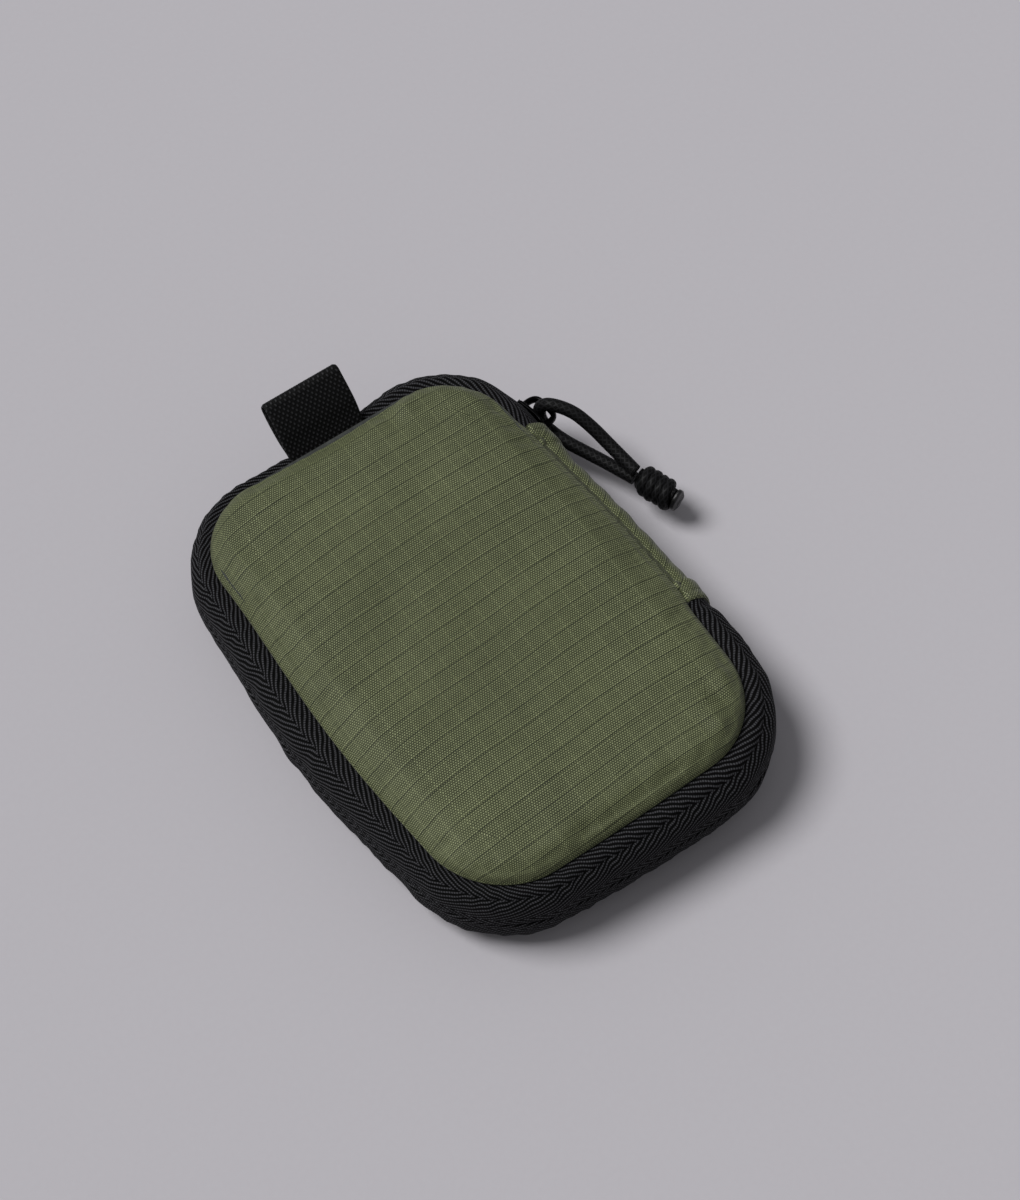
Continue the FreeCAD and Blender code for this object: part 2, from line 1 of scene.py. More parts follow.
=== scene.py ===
import bpy
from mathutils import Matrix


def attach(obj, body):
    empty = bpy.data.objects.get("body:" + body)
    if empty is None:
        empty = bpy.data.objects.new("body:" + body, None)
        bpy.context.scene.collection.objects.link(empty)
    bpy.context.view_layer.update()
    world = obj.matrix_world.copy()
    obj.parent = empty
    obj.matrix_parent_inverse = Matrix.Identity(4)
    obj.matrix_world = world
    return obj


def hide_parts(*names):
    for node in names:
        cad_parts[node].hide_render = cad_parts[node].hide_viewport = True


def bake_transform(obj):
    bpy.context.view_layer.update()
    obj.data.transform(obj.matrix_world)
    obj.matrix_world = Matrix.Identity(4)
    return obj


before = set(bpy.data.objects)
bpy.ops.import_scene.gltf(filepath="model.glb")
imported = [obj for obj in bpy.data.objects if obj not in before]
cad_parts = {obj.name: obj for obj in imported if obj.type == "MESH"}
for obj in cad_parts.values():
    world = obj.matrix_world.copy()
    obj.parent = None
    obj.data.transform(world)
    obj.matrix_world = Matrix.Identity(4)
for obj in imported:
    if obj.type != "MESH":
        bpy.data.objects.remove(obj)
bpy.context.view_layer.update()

import bpy
import math
import numpy as np
from mathutils import Vector

MM = 0.001
scene = bpy.context.scene
scene.view_settings.view_transform = "Standard"
scene.view_settings.look = "None"

# sizes in millimetres, as in the CAD model
HX, HY, RS = 48.0, 71.0, 23.0
CX, CY = HX - RS, HY - RS
ZC = 15.0
WR = (12.0 ** 2 + 7.5 ** 2) / 15.0
WO = 7.5 - WR
TAU = 2 * math.pi


# ------------------------------------------------------------------ camera
def place_camera():
    data = bpy.data.cameras.new("camera")
    cam = bpy.data.objects.new("camera", data)
    scene.collection.objects.link(cam)
    data.sensor_fit = "HORIZONTAL"
    data.sensor_width = 36.0
    data.lens = 2600.0 * 36.0 / 1020.0
    data.clip_start = 0.01
    el, az = math.radians(59.297), math.radians(36.055)
    fwd = Vector((math.sin(az) * math.cos(el), math.cos(az) * math.cos(el), -math.sin(el)))
    cam.location = Vector((0.02125, 0.01259, 0.0)) - fwd * 0.72071
    cam.rotation_euler = fwd.to_track_quat("-Z", "Y").to_euler()
    scene.camera = cam


place_camera()


# ------------------------------------------------------------------ outline of the seams
SEGS = [("run", (HX, 0.0), (HX, CY), (1, 0)), ("arc", (CX, CY), 0.0), ("run", (CX, HY), (-CX, HY), (0, 1)),
        ("arc", (-CX, CY), 90.0), ("run", (-HX, CY), (-HX, -CY), (-1, 0)), ("arc", (-CX, -CY), 180.0),
        ("run", (-CX, -HY), (CX, -HY), (0, -1)), ("arc", (CX, -CY), 270.0), ("run", (HX, -CY), (HX, 0.0), (1, 0))]
ARC = RS * math.pi / 2
LENGTHS = [CY, ARC, 2 * CX, ARC, 2 * CY, ARC, 2 * CX, ARC, CY]
STARTS = np.concatenate([[0.0], np.cumsum(LENGTHS)])
ROUND = float(STARTS[-1])


def foot(s):
    """Point and outward normal of the seam outline at the running length s, counterclockwise from (48, 0)."""
    s = np.mod(np.asarray(s, float), ROUND)
    k = np.clip(np.searchsorted(STARTS, s, side="right") - 1, 0, len(SEGS) - 1)
    p = np.zeros(s.shape + (2,))
    n = np.zeros(s.shape + (2,))
    for i, seg in enumerate(SEGS):
        m = k == i
        if not m.any():
            continue
        t = s[m] - STARTS[i]
        if seg[0] == "run":
            a, b = np.array(seg[1]), np.array(seg[2])
            p[m] = a + (b - a) * (t / LENGTHS[i])[:, None]
            n[m] = seg[3]
        else:
            ang = math.radians(seg[2]) + t / RS
            n[m] = np.stack([np.cos(ang), np.sin(ang)], -1)
            p[m] = np.array(seg[1]) + n[m] * RS
    return p, n


def smooth(t):
    t = np.clip(t, 0, 1)
    return t * t * (3 - 2 * t)


def warp(v):
    """The sewn halves aren't quite a rounded rectangle: their long sides and the -Y side bow out, and the +Y side is drawn in by the webbing."""
    v = np.array(v, float)
    x, y = v[..., 0].copy(), v[..., 1].copy()
    gx = np.clip(1 - ((y + 10) / 58) ** 2, 0, 1) ** 2
    v[..., 0] = x + np.where(x < 0, 2.6, 2.2) * (x / HX) * gx
    gy = np.clip(1 - (x / 47) ** 2, 0, 1) ** 2
    v[..., 1] = y + np.where(y < 0, 0.7 * (y / HY) * gy, -0.9 * (y / HY) ** 3 * np.exp(-((x - 4) / 17) ** 2))
    return v


def wobble(s, waves, seed, period=None):
    """Smooth seeded noise of one variable, about -1 to 1."""
    rng = np.random.default_rng(seed)
    out = np.zeros_like(np.asarray(s, float))
    for w in waves:
        for _ in range(3):
            f = 1.0 / (w * rng.uniform(0.8, 1.25))
            if period:
                f = max(1, round(period * f)) / period
            out += np.sin(TAU * f * s + rng.uniform(0, TAU))
    return out / (len(waves) * 3) ** 0.5 / 1.2


def noise2(x, y, wave, seed, count=22, stretch=1.0):
    """Smooth seeded noise of the plane, about -1 to 1."""
    rng = np.random.default_rng(seed)
    out = np.zeros_like(x)
    for _ in range(count):
        a = rng.uniform(0, TAU)
        f = TAU / (wave * rng.uniform(0.7, 1.5))
        out += np.sin(f * (x * math.cos(a) + y * math.sin(a) * stretch) + rng.uniform(0, TAU))
    return out / (count / 2) ** 0.5 / 1.6


# ------------------------------------------------------------------ mesh helpers
def make(name, verts, faces, weave=None, flat=False):
    me = bpy.data.meshes.new(name)
    me.from_pydata((np.asarray(verts, float).reshape(-1, 3) * MM).tolist(), [], faces)
    me.update()
    if not flat:
        me.polygons.foreach_set("use_smooth", [True] * len(me.polygons))
    if weave is not None:
        at = me.attributes.new("weave", "FLOAT_VECTOR", "POINT")
        at.data.foreach_set("vector", np.asarray(weave, np.float32).ravel())
    ob = bpy.data.objects.new(name, me)
    scene.collection.objects.link(ob)
    return ob


def grid(nu, nv, close_u=False, close_v=False, base=0, flip=False):
    """Quads of an nu by nv grid whose point (i, j) is at i * nv + j."""
    iu = np.arange(nu if close_u else nu - 1)
    iv = np.arange(nv if close_v else nv - 1)
    a, b = np.meshgrid(iu, iv, indexing="ij")
    a2, b2 = (a + 1) % nu, (b + 1) % nv
    q = np.stack([a * nv + b, a2 * nv + b, a2 * nv + b2, a * nv + b2], -1).reshape(-1, 4) + base
    if flip:
        q = q[:, ::-1]
    return q.tolist()


def joined(parts):
    """Several (verts, faces, weave) as one."""
    vs, fs, ws, n = [], [], [], 0
    for v, f, w in parts:
        v = np.asarray(v, float).reshape(-1, 3)
        vs.append(v)
        ws.append(np.zeros_like(v) if w is None else np.asarray(w, float).reshape(-1, 3))
        fs += [[i + n for i in q] for q in f]
        n += len(v)
    return np.concatenate(vs), fs, np.concatenate(ws)


def sweep(section, s, closed, shape=None):
    """Sweeps a closed section, points (offset, z), along the outline at the running lengths s.
    shape(s, section) may return the section's points for every s."""
    p, n = foot(s)
    sec = np.broadcast_to(np.asarray(section, float), (len(s), len(section), 2)).copy()
    if shape is not None:
        sec = shape(s[:, None], sec)
    v = np.zeros((len(s), sec.shape[1], 3))
    v[..., 0] = p[:, None, 0] + n[:, None, 0] * sec[..., 0]
    v[..., 1] = p[:, None, 1] + n[:, None, 1] * sec[..., 0]
    v[..., 2] = sec[..., 1]
    k = sec.shape[1]
    faces = grid(len(s), k, close_u=closed, close_v=True, flip=True)
    if not closed:
        faces.append(list(range(k))[::-1])
        faces.append([(len(s) - 1) * k + j for j in range(k)])
    return v, faces


def frames_along(pts):
    """Tangents and a pair of normals that don't twist along a line."""
    pts = np.asarray(pts, float)
    t = np.gradient(pts, axis=0)
    t /= np.linalg.norm(t, axis=1)[:, None]
    a = np.zeros_like(t)
    up = np.array([0, 0, 1.0]) if abs(t[0][2]) < 0.9 else np.array([1.0, 0, 0])
    a[0] = np.cross(t[0], up)
    a[0] /= np.linalg.norm(a[0])
    for i in range(1, len(pts)):
        v = a[i - 1] - t[i] * np.dot(a[i - 1], t[i])
        a[i] = v / np.linalg.norm(v)
    return t, a, np.cross(t, a)


def tube(pts, radius, sides, cap=True, relief=None, twist=0.0):
    """A round tube along points. relief(length, angle) is added to the radius."""
    pts = np.asarray(pts, float)
    t, a, b = frames_along(pts)
    length = np.concatenate([[0.0], np.cumsum(np.linalg.norm(np.diff(pts, axis=0), axis=1))])
    ang = np.arange(sides) / sides * TAU
    L, A = np.meshgrid(length, ang, indexing="ij")
    r = np.broadcast_to(np.asarray(radius, float).reshape(-1, 1) if np.ndim(radius) else np.float64(radius), L.shape).copy()
    if relief is not None:
        r = r + relief(L, A)
    v = pts[:, None, :] + a[:, None, :] * (np.cos(A) * r)[..., None] + b[:, None, :] * (np.sin(A) * r)[..., None]
    faces = grid(len(pts), sides, close_v=True)
    if cap:
        faces.append(list(range(sides))[::-1])
        faces.append([(len(pts) - 1) * sides + j for j in range(sides)])
    w = np.stack([L, A * 1.9, np.zeros_like(L)], -1)
    return v.reshape(-1, 3), faces, w.reshape(-1, 3)


def resample(pts, step):
    pts = np.asarray(pts, float)
    d = np.concatenate([[0.0], np.cumsum(np.linalg.norm(np.diff(pts, axis=0), axis=1))])
    n = max(2, int(round(d[-1] / step)) + 1)
    q = np.linspace(0, d[-1], n)
    return np.stack([np.interp(q, d, pts[:, k]) for k in range(3)], -1)


def stitches(line, up, length=2.4, gap=0.9, thick=0.36, sink=0.05, seed=1):
    """A row of short thread stitches along a line, each one a bowed, tapered bar lying on the cloth."""
    line = np.asarray(line, float)
    up = np.broadcast_to(np.asarray(up, float), line.shape)
    d = np.concatenate([[0.0], np.cumsum(np.linalg.norm(np.diff(line, axis=0), axis=1))])
    pitch = length + gap
    count = int(d[-1] / pitch)
    rng = np.random.default_rng(seed)
    parts = []
    for k in range(count):
        q = np.linspace(0, 1, 6)
        at = (k + 0.5) * pitch - length / 2 + q * length + rng.uniform(-0.05, 0.05) + (d[-1] - count * pitch) / 2
        p = np.stack([np.interp(at, d, line[:, i]) for i in range(3)], -1)
        u = np.stack([np.interp(at, d, up[:, i]) for i in range(3)], -1)
        u /= np.linalg.norm(u, axis=1)[:, None]
        p = p + u * ((np.sin(q * math.pi) ** 0.6) * thick * 0.5 - sink)[:, None]
        r = thick / 2 * (0.55 + 0.45 * np.sin(q * math.pi) ** 0.5)
        parts.append(tube(p, r, 6))
    return joined(parts)


def apply_modifiers(ob):
    deps = bpy.context.evaluated_depsgraph_get()
    me = bpy.data.meshes.new_from_object(ob.evaluated_get(deps), preserve_all_data_layers=True, depsgraph=deps)
    old = ob.data
    ob.modifiers.clear()
    ob.data = me
    me.name = ob.name
    if old.users == 0:
        bpy.data.meshes.remove(old)
    return ob


def subdivided(ob, levels=1):
    m = ob.modifiers.new("subdivision", "SUBSURF")
    m.levels = m.render_levels = levels
    return apply_modifiers(ob)


def bevelled(ob, width, segments=2, angle=35):
    m = ob.modifiers.new("bevel", "BEVEL")
    m.width = width * MM
    m.segments = segments
    m.limit_method = "ANGLE"
    m.angle_limit = math.radians(angle)
    return apply_modifiers(ob)


def paint(ob, mat):
    ob.data.materials.clear()
    ob.data.materials.append(mat)
    return ob


# ------------------------------------------------------------------ materials
class Nodes:
    """A short way to write shader node networks."""

    def __init__(self, name):
        self.mat = bpy.data.materials.new(name)
        self.mat.use_nodes = True
        self.t = self.mat.node_tree
        self.bsdf = next(n for n in self.t.nodes if n.type == "BSDF_PRINCIPLED")

    def put(self, socket, value):
        if hasattr(value, "node"):
            self.t.links.new(value, socket)
        else:
            socket.default_value = value

    def math(self, op, a, b=0.0, c=0.0, clamp=False):
        n = self.t.nodes.new("ShaderNodeMath")
        n.operation = op
        n.use_clamp = clamp
        for i, v in enumerate((a, b, c)):
            self.put(n.inputs[i], v)
        return n.outputs[0]

    def add(self, a, b):
        return self.math("ADD", a, b)

    def sub(self, a, b):
        return self.math("SUBTRACT", a, b)

    def mul(self, a, b):
        return self.math("MULTIPLY", a, b)

    def sin(self, a):
        return self.math("SINE", a)

    def step(self, v, lo, hi, out_lo=0.0, out_hi=1.0, soft=True):
        n = self.t.nodes.new("ShaderNodeMapRange")
        n.interpolation_type = "SMOOTHSTEP" if soft else "LINEAR"
        n.clamp = True
        self.put(n.inputs["Value"], v)
        for k, x in (("From Min", lo), ("From Max", hi), ("To Min", out_lo), ("To Max", out_hi)):
            self.put(n.inputs[k], x)
        return n.outputs["Result"]

    def weave(self):
        n = self.t.nodes.new("ShaderNodeAttribute")
        n.attribute_name = "weave"
        s = self.t.nodes.new("ShaderNodeSeparateXYZ")
        self.t.links.new(n.outputs["Vector"], s.inputs[0])
        return s.outputs[0], s.outputs[1], s.outputs[2]

    def place(self, scale=1000.0):
        c = self.t.nodes.new("ShaderNodeTexCoord")
        m = self.t.nodes.new("ShaderNodeVectorMath")
        m.operation = "SCALE"
        m.inputs["Scale"].default_value = scale
        self.t.links.new(c.outputs["Object"], m.inputs[0])
        return m.outputs[0]

    def xyz(self, v):
        s = self.t.nodes.new("ShaderNodeSeparateXYZ")
        self.t.links.new(v, s.inputs[0])
        return s.outputs[0], s.outputs[1], s.outputs[2]

    def vec(self, x, y, z=0.0):
        n = self.t.nodes.new("ShaderNodeCombineXYZ")
        for i, v in enumerate((x, y, z)):
            self.put(n.inputs[i], v)
        return n.outputs[0]

    def noise(self, v, scale, detail=3.0, rough=0.55):
        n = self.t.nodes.new("ShaderNodeTexNoise")
        self.t.links.new(v, n.inputs["Vector"])
        n.inputs["Scale"].default_value = scale
        n.inputs["Detail"].default_value = detail
        n.inputs["Roughness"].default_value = rough
        return n.outputs["Fac"]

    def ramp(self, fac, stops):
        n = self.t.nodes.new("ShaderNodeValToRGB")
        el = n.color_ramp.elements
        while len(el) < len(stops):
            el.new(0.5)
        for e, (p, c) in zip(el, stops):
            e.position = p
            e.color = (*c, 1.0)
        self.put(n.inputs["Fac"], fac)
        return n.outputs["Color"]

    def bump(self, height, distance, strength=1.0, under=None):
        n = self.t.nodes.new("ShaderNodeBump")
        n.inputs["Strength"].default_value = strength
        n.inputs["Distance"].default_value = distance
        self.put(n.inputs["Height"], height)
        if under is not None:
            self.t.links.new(under, n.inputs["Normal"])
        return n.outputs["Normal"]

    def done(self, color, rough, normal=None, metallic=0.0, specular=0.4, sheen=0.0, sheen_rough=0.4, coat=0.0):
        b = self.bsdf
        self.put(b.inputs["Base Color"], color)
        self.put(b.inputs["Roughness"], rough)
        b.inputs["Metallic"].default_value = metallic
        b.inputs["Specular IOR Level"].default_value = specular
        b.inputs["Sheen Weight"].default_value = sheen
        b.inputs["Sheen Roughness"].default_value = sheen_rough
        b.inputs["Coat Weight"].default_value = coat
        if normal is not None:
            self.t.links.new(normal, b.inputs["Normal"])
        return self.mat


def lin(*rgb):
    return tuple(((c / 255) / 12.92 if c / 255 <= 0.04045 else ((c / 255 + 0.055) / 1.055) ** 2.4) for c in rgb)


def ripstop():
    """Plain weave of 0.35 x 0.61 mm with a heavier thread every 5.2 mm both ways. Its colour is painted lighter on the
    yarn crowns and darker in the gaps between yarns: painted highlight and painted shade.
    """
    n = Nodes("ripstop_green")
    u, v, _ = n.weave()
    su = n.sin(n.mul(u, math.pi / 0.352))
    sv = n.sin(n.mul(v, math.pi / 0.606))
    cross = n.mul(su, sv)
    over = n.math("MAXIMUM", cross, 0.0)
    under = n.math("MAXIMUM", n.mul(cross, -1.0), 0.0)
    slub = n.noise(n.vec(n.mul(u, 0.10), n.mul(v, 1.65)), 1.0, 2.0, 0.6)
    slub2 = n.noise(n.vec(n.mul(u, 2.8), n.mul(v, 0.12)), 1.0, 2.0, 0.6)
    cloud = n.noise(n.place(), 0.035, 3.0, 0.5)
    fv = n.math("FRACT", n.math("DIVIDE", n.add(v, 260.0), 5.2))
    fu = n.math("FRACT", n.math("DIVIDE", n.add(u, 261.3), 5.2))
    dv = n.math("ABSOLUTE", n.sub(fv, 0.5))
    dv2 = n.math("ABSOLUTE", n.sub(fv, 0.42))
    du = n.math("ABSOLUTE", n.sub(fu, 0.5))
    line_v = n.step(dv, 0.025, 0.075, 1.0, 0.0)
    dark_v = n.step(dv2, 0.02, 0.06, 1.0, 0.0)
    line_u = n.mul(n.step(du, 0.02, 0.055, 1.0, 0.0), n.step(sv, -0.5, 0.6, 0.25, 1.0))
    # warp-over crowns lightest, weft-over crowns less so, the gaps between yarns darkest: painted highlight on the
    # crowns and painted shade in the gaps
    h = n.add(n.mul(over, 0.95), n.mul(under, 0.32))
    h = n.add(h, n.mul(n.sub(slub, 0.5), 0.30))
    h = n.add(h, n.mul(n.sub(slub2, 0.5), 0.12))
    h = n.add(h, n.mul(line_v, 0.07))
    h = n.add(h, n.mul(line_u, 0.13))
    h = n.sub(h, n.mul(dark_v, 0.21))
    # this value is the cloth's own tone (slubs, heavier threads, random cloud) plus the painted highlight and painted
    # shade of the yarn crowns and gaps; it drives the colour and the roughness
    yarn_tone_and_painted_light = n.add(h, n.mul(n.sub(cloud, 0.5), 0.16))
    col = n.ramp(yarn_tone_and_painted_light, [(0.0, lin(32, 36, 20)), (0.28, lin(81, 86, 56)), (0.55, lin(116, 122, 85)),
                         (1.0, lin(172, 178, 136))])
    relief = n.add(n.add(n.mul(over, 1.0), n.mul(under, 0.55)), n.add(n.mul(line_v, 0.25), n.mul(line_u, 0.20)))
    nrm = n.bump(relief, 0.00008, 0.85)
    rough = n.step(yarn_tone_and_painted_light, 0.0, 1.0, 0.66, 0.48, soft=False)
    return n.done(col, rough, nrm, specular=0.30, sheen=0.10, sheen_rough=0.35)


def herringbone():
    """Black herringbone tape. weave holds the length along the tape, the folded distance across it and the column."""
    n = Nodes("zip_tape")
    s, t, c = n.weave()
    beta = math.radians(28)
    phase = n.mul(n.add(n.add(n.mul(s, math.sin(beta)), n.mul(t, math.cos(beta))), n.mul(c, 0.56)), 1 / 1.13)
    rib = n.sin(n.mul(phase, TAU))
    along = n.mul(n.sub(n.mul(s, math.cos(beta)), n.mul(t, math.sin(beta))), 1 / 0.62)
    bead = n.sin(n.mul(n.add(along, n.mul(n.math("FLOOR", phase), 0.5)), TAU))
    fleck = n.noise(n.vec(n.mul(s, 1.7), n.mul(t, 1.7)), 1.0, 2.0, 0.6)
    h = n.add(n.mul(n.step(rib, -0.75, 0.9), 0.7), n.mul(n.mul(n.step(bead, -0.8, 0.9), n.step(rib, -0.6, 0.8)), 0.45))
    h = n.add(h, n.mul(n.sub(fleck, 0.5), 0.5))
    col = n.ramp(h, [(0.0, lin(2, 2, 2)), (0.40, lin(11, 11, 12)), (0.75, lin(34, 34, 36)), (1.0, lin(68, 68, 71))])
    nrm = n.bump(h, 0.00012, 0.85)
    rough = n.step(h, 0.0, 1.0, 0.80, 0.52, soft=False)
    return n.done(col, rough, nrm, specular=0.08)


def webbing_cloth(name="webbing", dark=(1, 1, 1), light=(52, 52, 54)):
    """Basket weave of flat nylon webbing. weave holds millimetres across and along."""
    n = Nodes(name)
    u, v, _ = n.weave()
    su = n.sin(n.mul(u, math.pi / 0.80))
    sv = n.sin(n.mul(v, math.pi / 0.98))
    cross = n.mul(su, sv)
    over = n.math("MAXIMUM", cross, 0.0)
    under = n.math("MAXIMUM", n.mul(cross, -1.0), 0.0)
    fleck = n.noise(n.vec(n.mul(u, 2.2), n.mul(v, 0.9)), 1.0, 2.0, 0.6)
    h = n.add(n.add(n.mul(n.math("POWER", over, 0.6), 0.85), n.mul(under, 0.30)), n.mul(n.sub(fleck, 0.5), 0.35))
    col = n.ramp(h, [(0.0, lin(*dark)), (0.45, lin(8, 8, 9)), (1.0, lin(*light))])
    nrm = n.bump(h, 0.00016, 0.9)
    return n.done(col, n.step(h, 0.0, 1.0, 0.70, 0.42, soft=False), nrm, specular=0.16)


def braid(name="cord", top=(34, 34, 36)):
    """Braided sheath. weave holds the length along the cord and the distance round it."""
    n = Nodes(name)
    s, t, _ = n.weave()
    a = n.sin(n.mul(n.add(n.mul(s, 1 / 1.9), n.mul(t, 8 / (TAU * 1.9))), TAU))
    b = n.sin(n.mul(n.sub(n.mul(s, 1 / 1.9), n.mul(t, 8 / (TAU * 1.9))), TAU))
    plait = n.math("MAXIMUM", a, b)
    fine = n.noise(n.vec(n.mul(s, 3.0), n.mul(t, 9.0)), 1.0, 2.0, 0.6)
    h = n.add(n.mul(n.step(plait, -0.4, 1.0), 0.75), n.mul(n.sub(fine, 0.5), 0.4))
    col = n.ramp(h, [(0.0, lin(2, 2, 2)), (0.55, lin(8, 8, 9)), (1.0, lin(*top))])
    nrm = n.bump(h, 0.00012, 0.9)
    return n.done(col, n.step(h, 0.0, 1.0, 0.66, 0.44, soft=False), nrm, specular=0.14)


def cloth(name, dark, mid, light, pu=0.5, pv=0.5, rough=0.7, depth=0.00006, specular=0.3, sheen=0.0):
    """Plain woven cloth in the object's own coordinates along the weave attribute."""
    n = Nodes(name)
    u, v, _ = n.weave()
    cross = n.mul(n.sin(n.mul(u, math.pi / pu)), n.sin(n.mul(v, math.pi / pv)))
    over = n.math("MAXIMUM", cross, 0.0)
    under = n.math("MAXIMUM", n.mul(cross, -1.0), 0.0)
    cloud = n.noise(n.place(), 0.08, 4.0, 0.6)
    slub = n.noise(n.vec(n.mul(u, 0.15), n.mul(v, 1.4)), 1.0, 2.0, 0.6)
    h = n.add(n.add(n.mul(over, 0.6), n.mul(under, 0.35)), n.add(n.mul(n.sub(cloud, 0.5), 0.5), n.mul(n.sub(slub, 0.5), 0.5)))
    col = n.ramp(h, [(0.0, lin(*dark)), (0.45, lin(*mid)), (1.0, lin(*light))])
    nrm = n.bump(h, depth, 0.8)
    return n.done(col, n.step(h, 0.0, 1.0, rough, rough - 0.14, soft=False), nrm, specular=specular, sheen=sheen)


def elastic():
    """Ribbed elastic: ribs along the band, fine cross threads between them."""
    n = Nodes("elastic")
    u, v, _ = n.weave()
    rib = n.sin(n.mul(v, TAU / 1.25))
    cross = n.sin(n.add(n.mul(u, TAU / 0.7), n.mul(n.step(rib, -0.1, 0.1), math.pi)))
    fleck = n.noise(n.vec(n.mul(u, 1.5), n.mul(v, 2.5)), 1.0, 2.0, 0.6)
    h = n.add(n.add(n.mul(n.step(rib, -0.9, 0.9), 0.55), n.mul(n.step(cross, -0.9, 0.9), 0.3)), n.mul(n.sub(fleck, 0.5), 0.4))
    col = n.ramp(h, [(0.0, lin(8, 8, 9)), (0.5, lin(24, 24, 26)), (1.0, lin(58, 58, 62))])
    return n.done(col, n.step(h, 0.0, 1.0, 0.78, 0.58, soft=False), n.bump(h, 0.00018, 0.9), specular=0.3)


def thread(name, mid, light):
    n = Nodes(name)
    s, t, _ = n.weave()
    ply = n.sin(n.mul(n.add(n.mul(s, 1 / 0.42), n.mul(t, 0.5)), TAU))
    fine = n.noise(n.place(), 2.0, 2.0, 0.6)
    h = n.add(n.mul(n.step(ply, -1.0, 1.0), 0.7), n.mul(n.sub(fine, 0.5), 0.4))
    col = n.ramp(h, [(0.0, lin(*[c * 0.45 for c in mid])), (0.5, lin(*mid)), (1.0, lin(*light))])
    return n.done(col, n.step(h, 0.0, 1.0, 0.7, 0.5, soft=False), n.bump(h, 0.00005, 0.8), specular=0.35)


def coated_metal():
    """Black coated die-cast metal, worn bright along its edges."""
    n = Nodes("slider_metal")
    g = n.t.nodes.new("ShaderNodeNewGeometry")
    edge = n.step(g.outputs["Pointiness"], 0.53, 0.62)
    scuff = n.noise(n.place(), 1.4, 4.0, 0.65)
    wear = n.mul(edge, n.step(scuff, 0.46, 0.62))
    fine = n.noise(n.place(), 5.0, 3.0, 0.6)
    col = n.ramp(n.add(n.mul(wear, 0.8), n.mul(n.sub(fine, 0.5), 0.15)),
                 [(0.0, lin(6, 6, 7)), (0.25, lin(12, 12, 13)), (1.0, lin(120, 118, 115))])
    rough = n.add(n.step(wear, 0.0, 1.0, 0.36, 0.24), n.mul(n.sub(fine, 0.5), 0.18))
    return n.done(col, rough, n.bump(fine, 0.00002, 0.5), metallic=0.9, specular=0.5)


def moulded(name, dark, mid, light, rough=0.5, scale=1.5, depth=0.00004, specular=0.45):
    n = Nodes(name)
    fine = n.noise(n.place(), scale, 4.0, 0.6)
    broad = n.noise(n.place(), scale * 0.12, 2.0, 0.5)
    h = n.add(n.mul(fine, 0.6), n.mul(broad, 0.4))
    col = n.ramp(h, [(0.25, lin(*dark)), (0.5, lin(*mid)), (0.8, lin(*light))])
    return n.done(col, n.add(rough, n.mul(n.sub(fine, 0.5), 0.25)), n.bump(fine, depth, 0.7), specular=specular)


M_RIP = ripstop()
M_TAPE = herringbone()
M_WEB = webbing_cloth()
M_CORD = braid()
M_LINING = cloth("lining", (26, 27, 29), (54, 55, 58), (84, 85, 89), 0.42, 0.42, rough=0.68)
M_BINDING = cloth("binding", (7, 7, 8), (21, 21, 23), (48, 48, 51), 0.55, 0.9, rough=0.76, depth=0.0001)
M_ELASTIC = elastic()
M_THREAD_GREEN = thread("thread_green", (96, 102, 74), (138, 144, 112))
M_THREAD_BLACK = thread("thread_black", (26, 26, 28), (64, 64, 68))
M_METAL = coated_metal()
M_COIL = moulded("zip_coil", (8, 8, 9), (18, 18, 20), (34, 34, 36), rough=0.34)
M_FOAM = moulded("foam", (40, 42, 40), (62, 64, 62), (88, 90, 88), rough=0.9, scale=2.6, depth=0.0002, specular=0.2)
M_NET = moulded("mesh", (8, 8, 9), (20, 20, 22), (40, 40, 43), rough=0.6, scale=3.0)
M_FUSED = moulded("fused_nylon", (9, 9, 10), (17, 17, 18), (34, 34, 35), rough=0.38, scale=0.9, depth=0.0002)
M_CORE = moulded("cord_core", (40, 40, 42), (66, 66, 68), (98, 98, 100), rough=0.5, scale=1.6, depth=0.0001)


# ------------------------------------------------------------------ pull cord, knot and fused ends
ROUTE = [(69.90, 19.90, 8.75), (67.20, 27.20, 8.90), (64.20, 34.40, 9.20), (60.90, 41.90, 9.60),
         (59.174, 50.570, 10.20), (59.174, 50.570, 19.80), (64.30, 43.40, 20.30), (66.90, 36.90, 17.60),
         (68.90, 29.00, 13.90), (69.90, 19.90, 12.65)]
CORD_D = 3.8
KNOT_DIR = np.array([0.326, -0.943, -0.050])
KNOT_DIR /= np.linalg.norm(KNOT_DIR)
KNOT_NEAR = np.array([69.90, 19.90, 10.70]) + KNOT_DIR * 0.75
KNOT_LEN, KNOT_D = 13.0, 9.3


def route_points():
    cu = bpy.data.curves.new("route", "CURVE")
    cu.dimensions = "3D"
    sp = cu.splines.new("NURBS")
    sp.points.add(len(ROUTE) - 1)
    for p, q in zip(sp.points, ROUTE):
        p.co = (q[0] * MM, q[1] * MM, q[2] * MM, 1.0)
    sp.order_u = 3
    sp.use_endpoint_u = True
    sp.resolution_u = 32
    ob = bpy.data.objects.new("route", cu)
    scene.collection.objects.link(ob)
    deps = bpy.context.evaluated_depsgraph_get()
    me = bpy.data.meshes.new_from_object(ob.evaluated_get(deps))
    pts = np.array([v.co for v in me.vertices])
    bpy.data.objects.remove(ob)
    bpy.data.meshes.remove(me)
    return pts


def plait(L, A):
    a = np.sin(TAU * (L / 1.9) + 8 * A)
    b = np.sin(TAU * (L / 1.9) - 8 * A)
    return 0.05 * np.maximum(a, b) - 0.03


path_m = route_points()
path = resample(path_m / MM, 0.32)
v, f, w = tube(path, CORD_D / 2, 48, relief=plait)
cord = make("pull_cord_braided", v, f, w)
paint(cord, M_CORD)
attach(cord, "pull")
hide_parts("pull_cord")


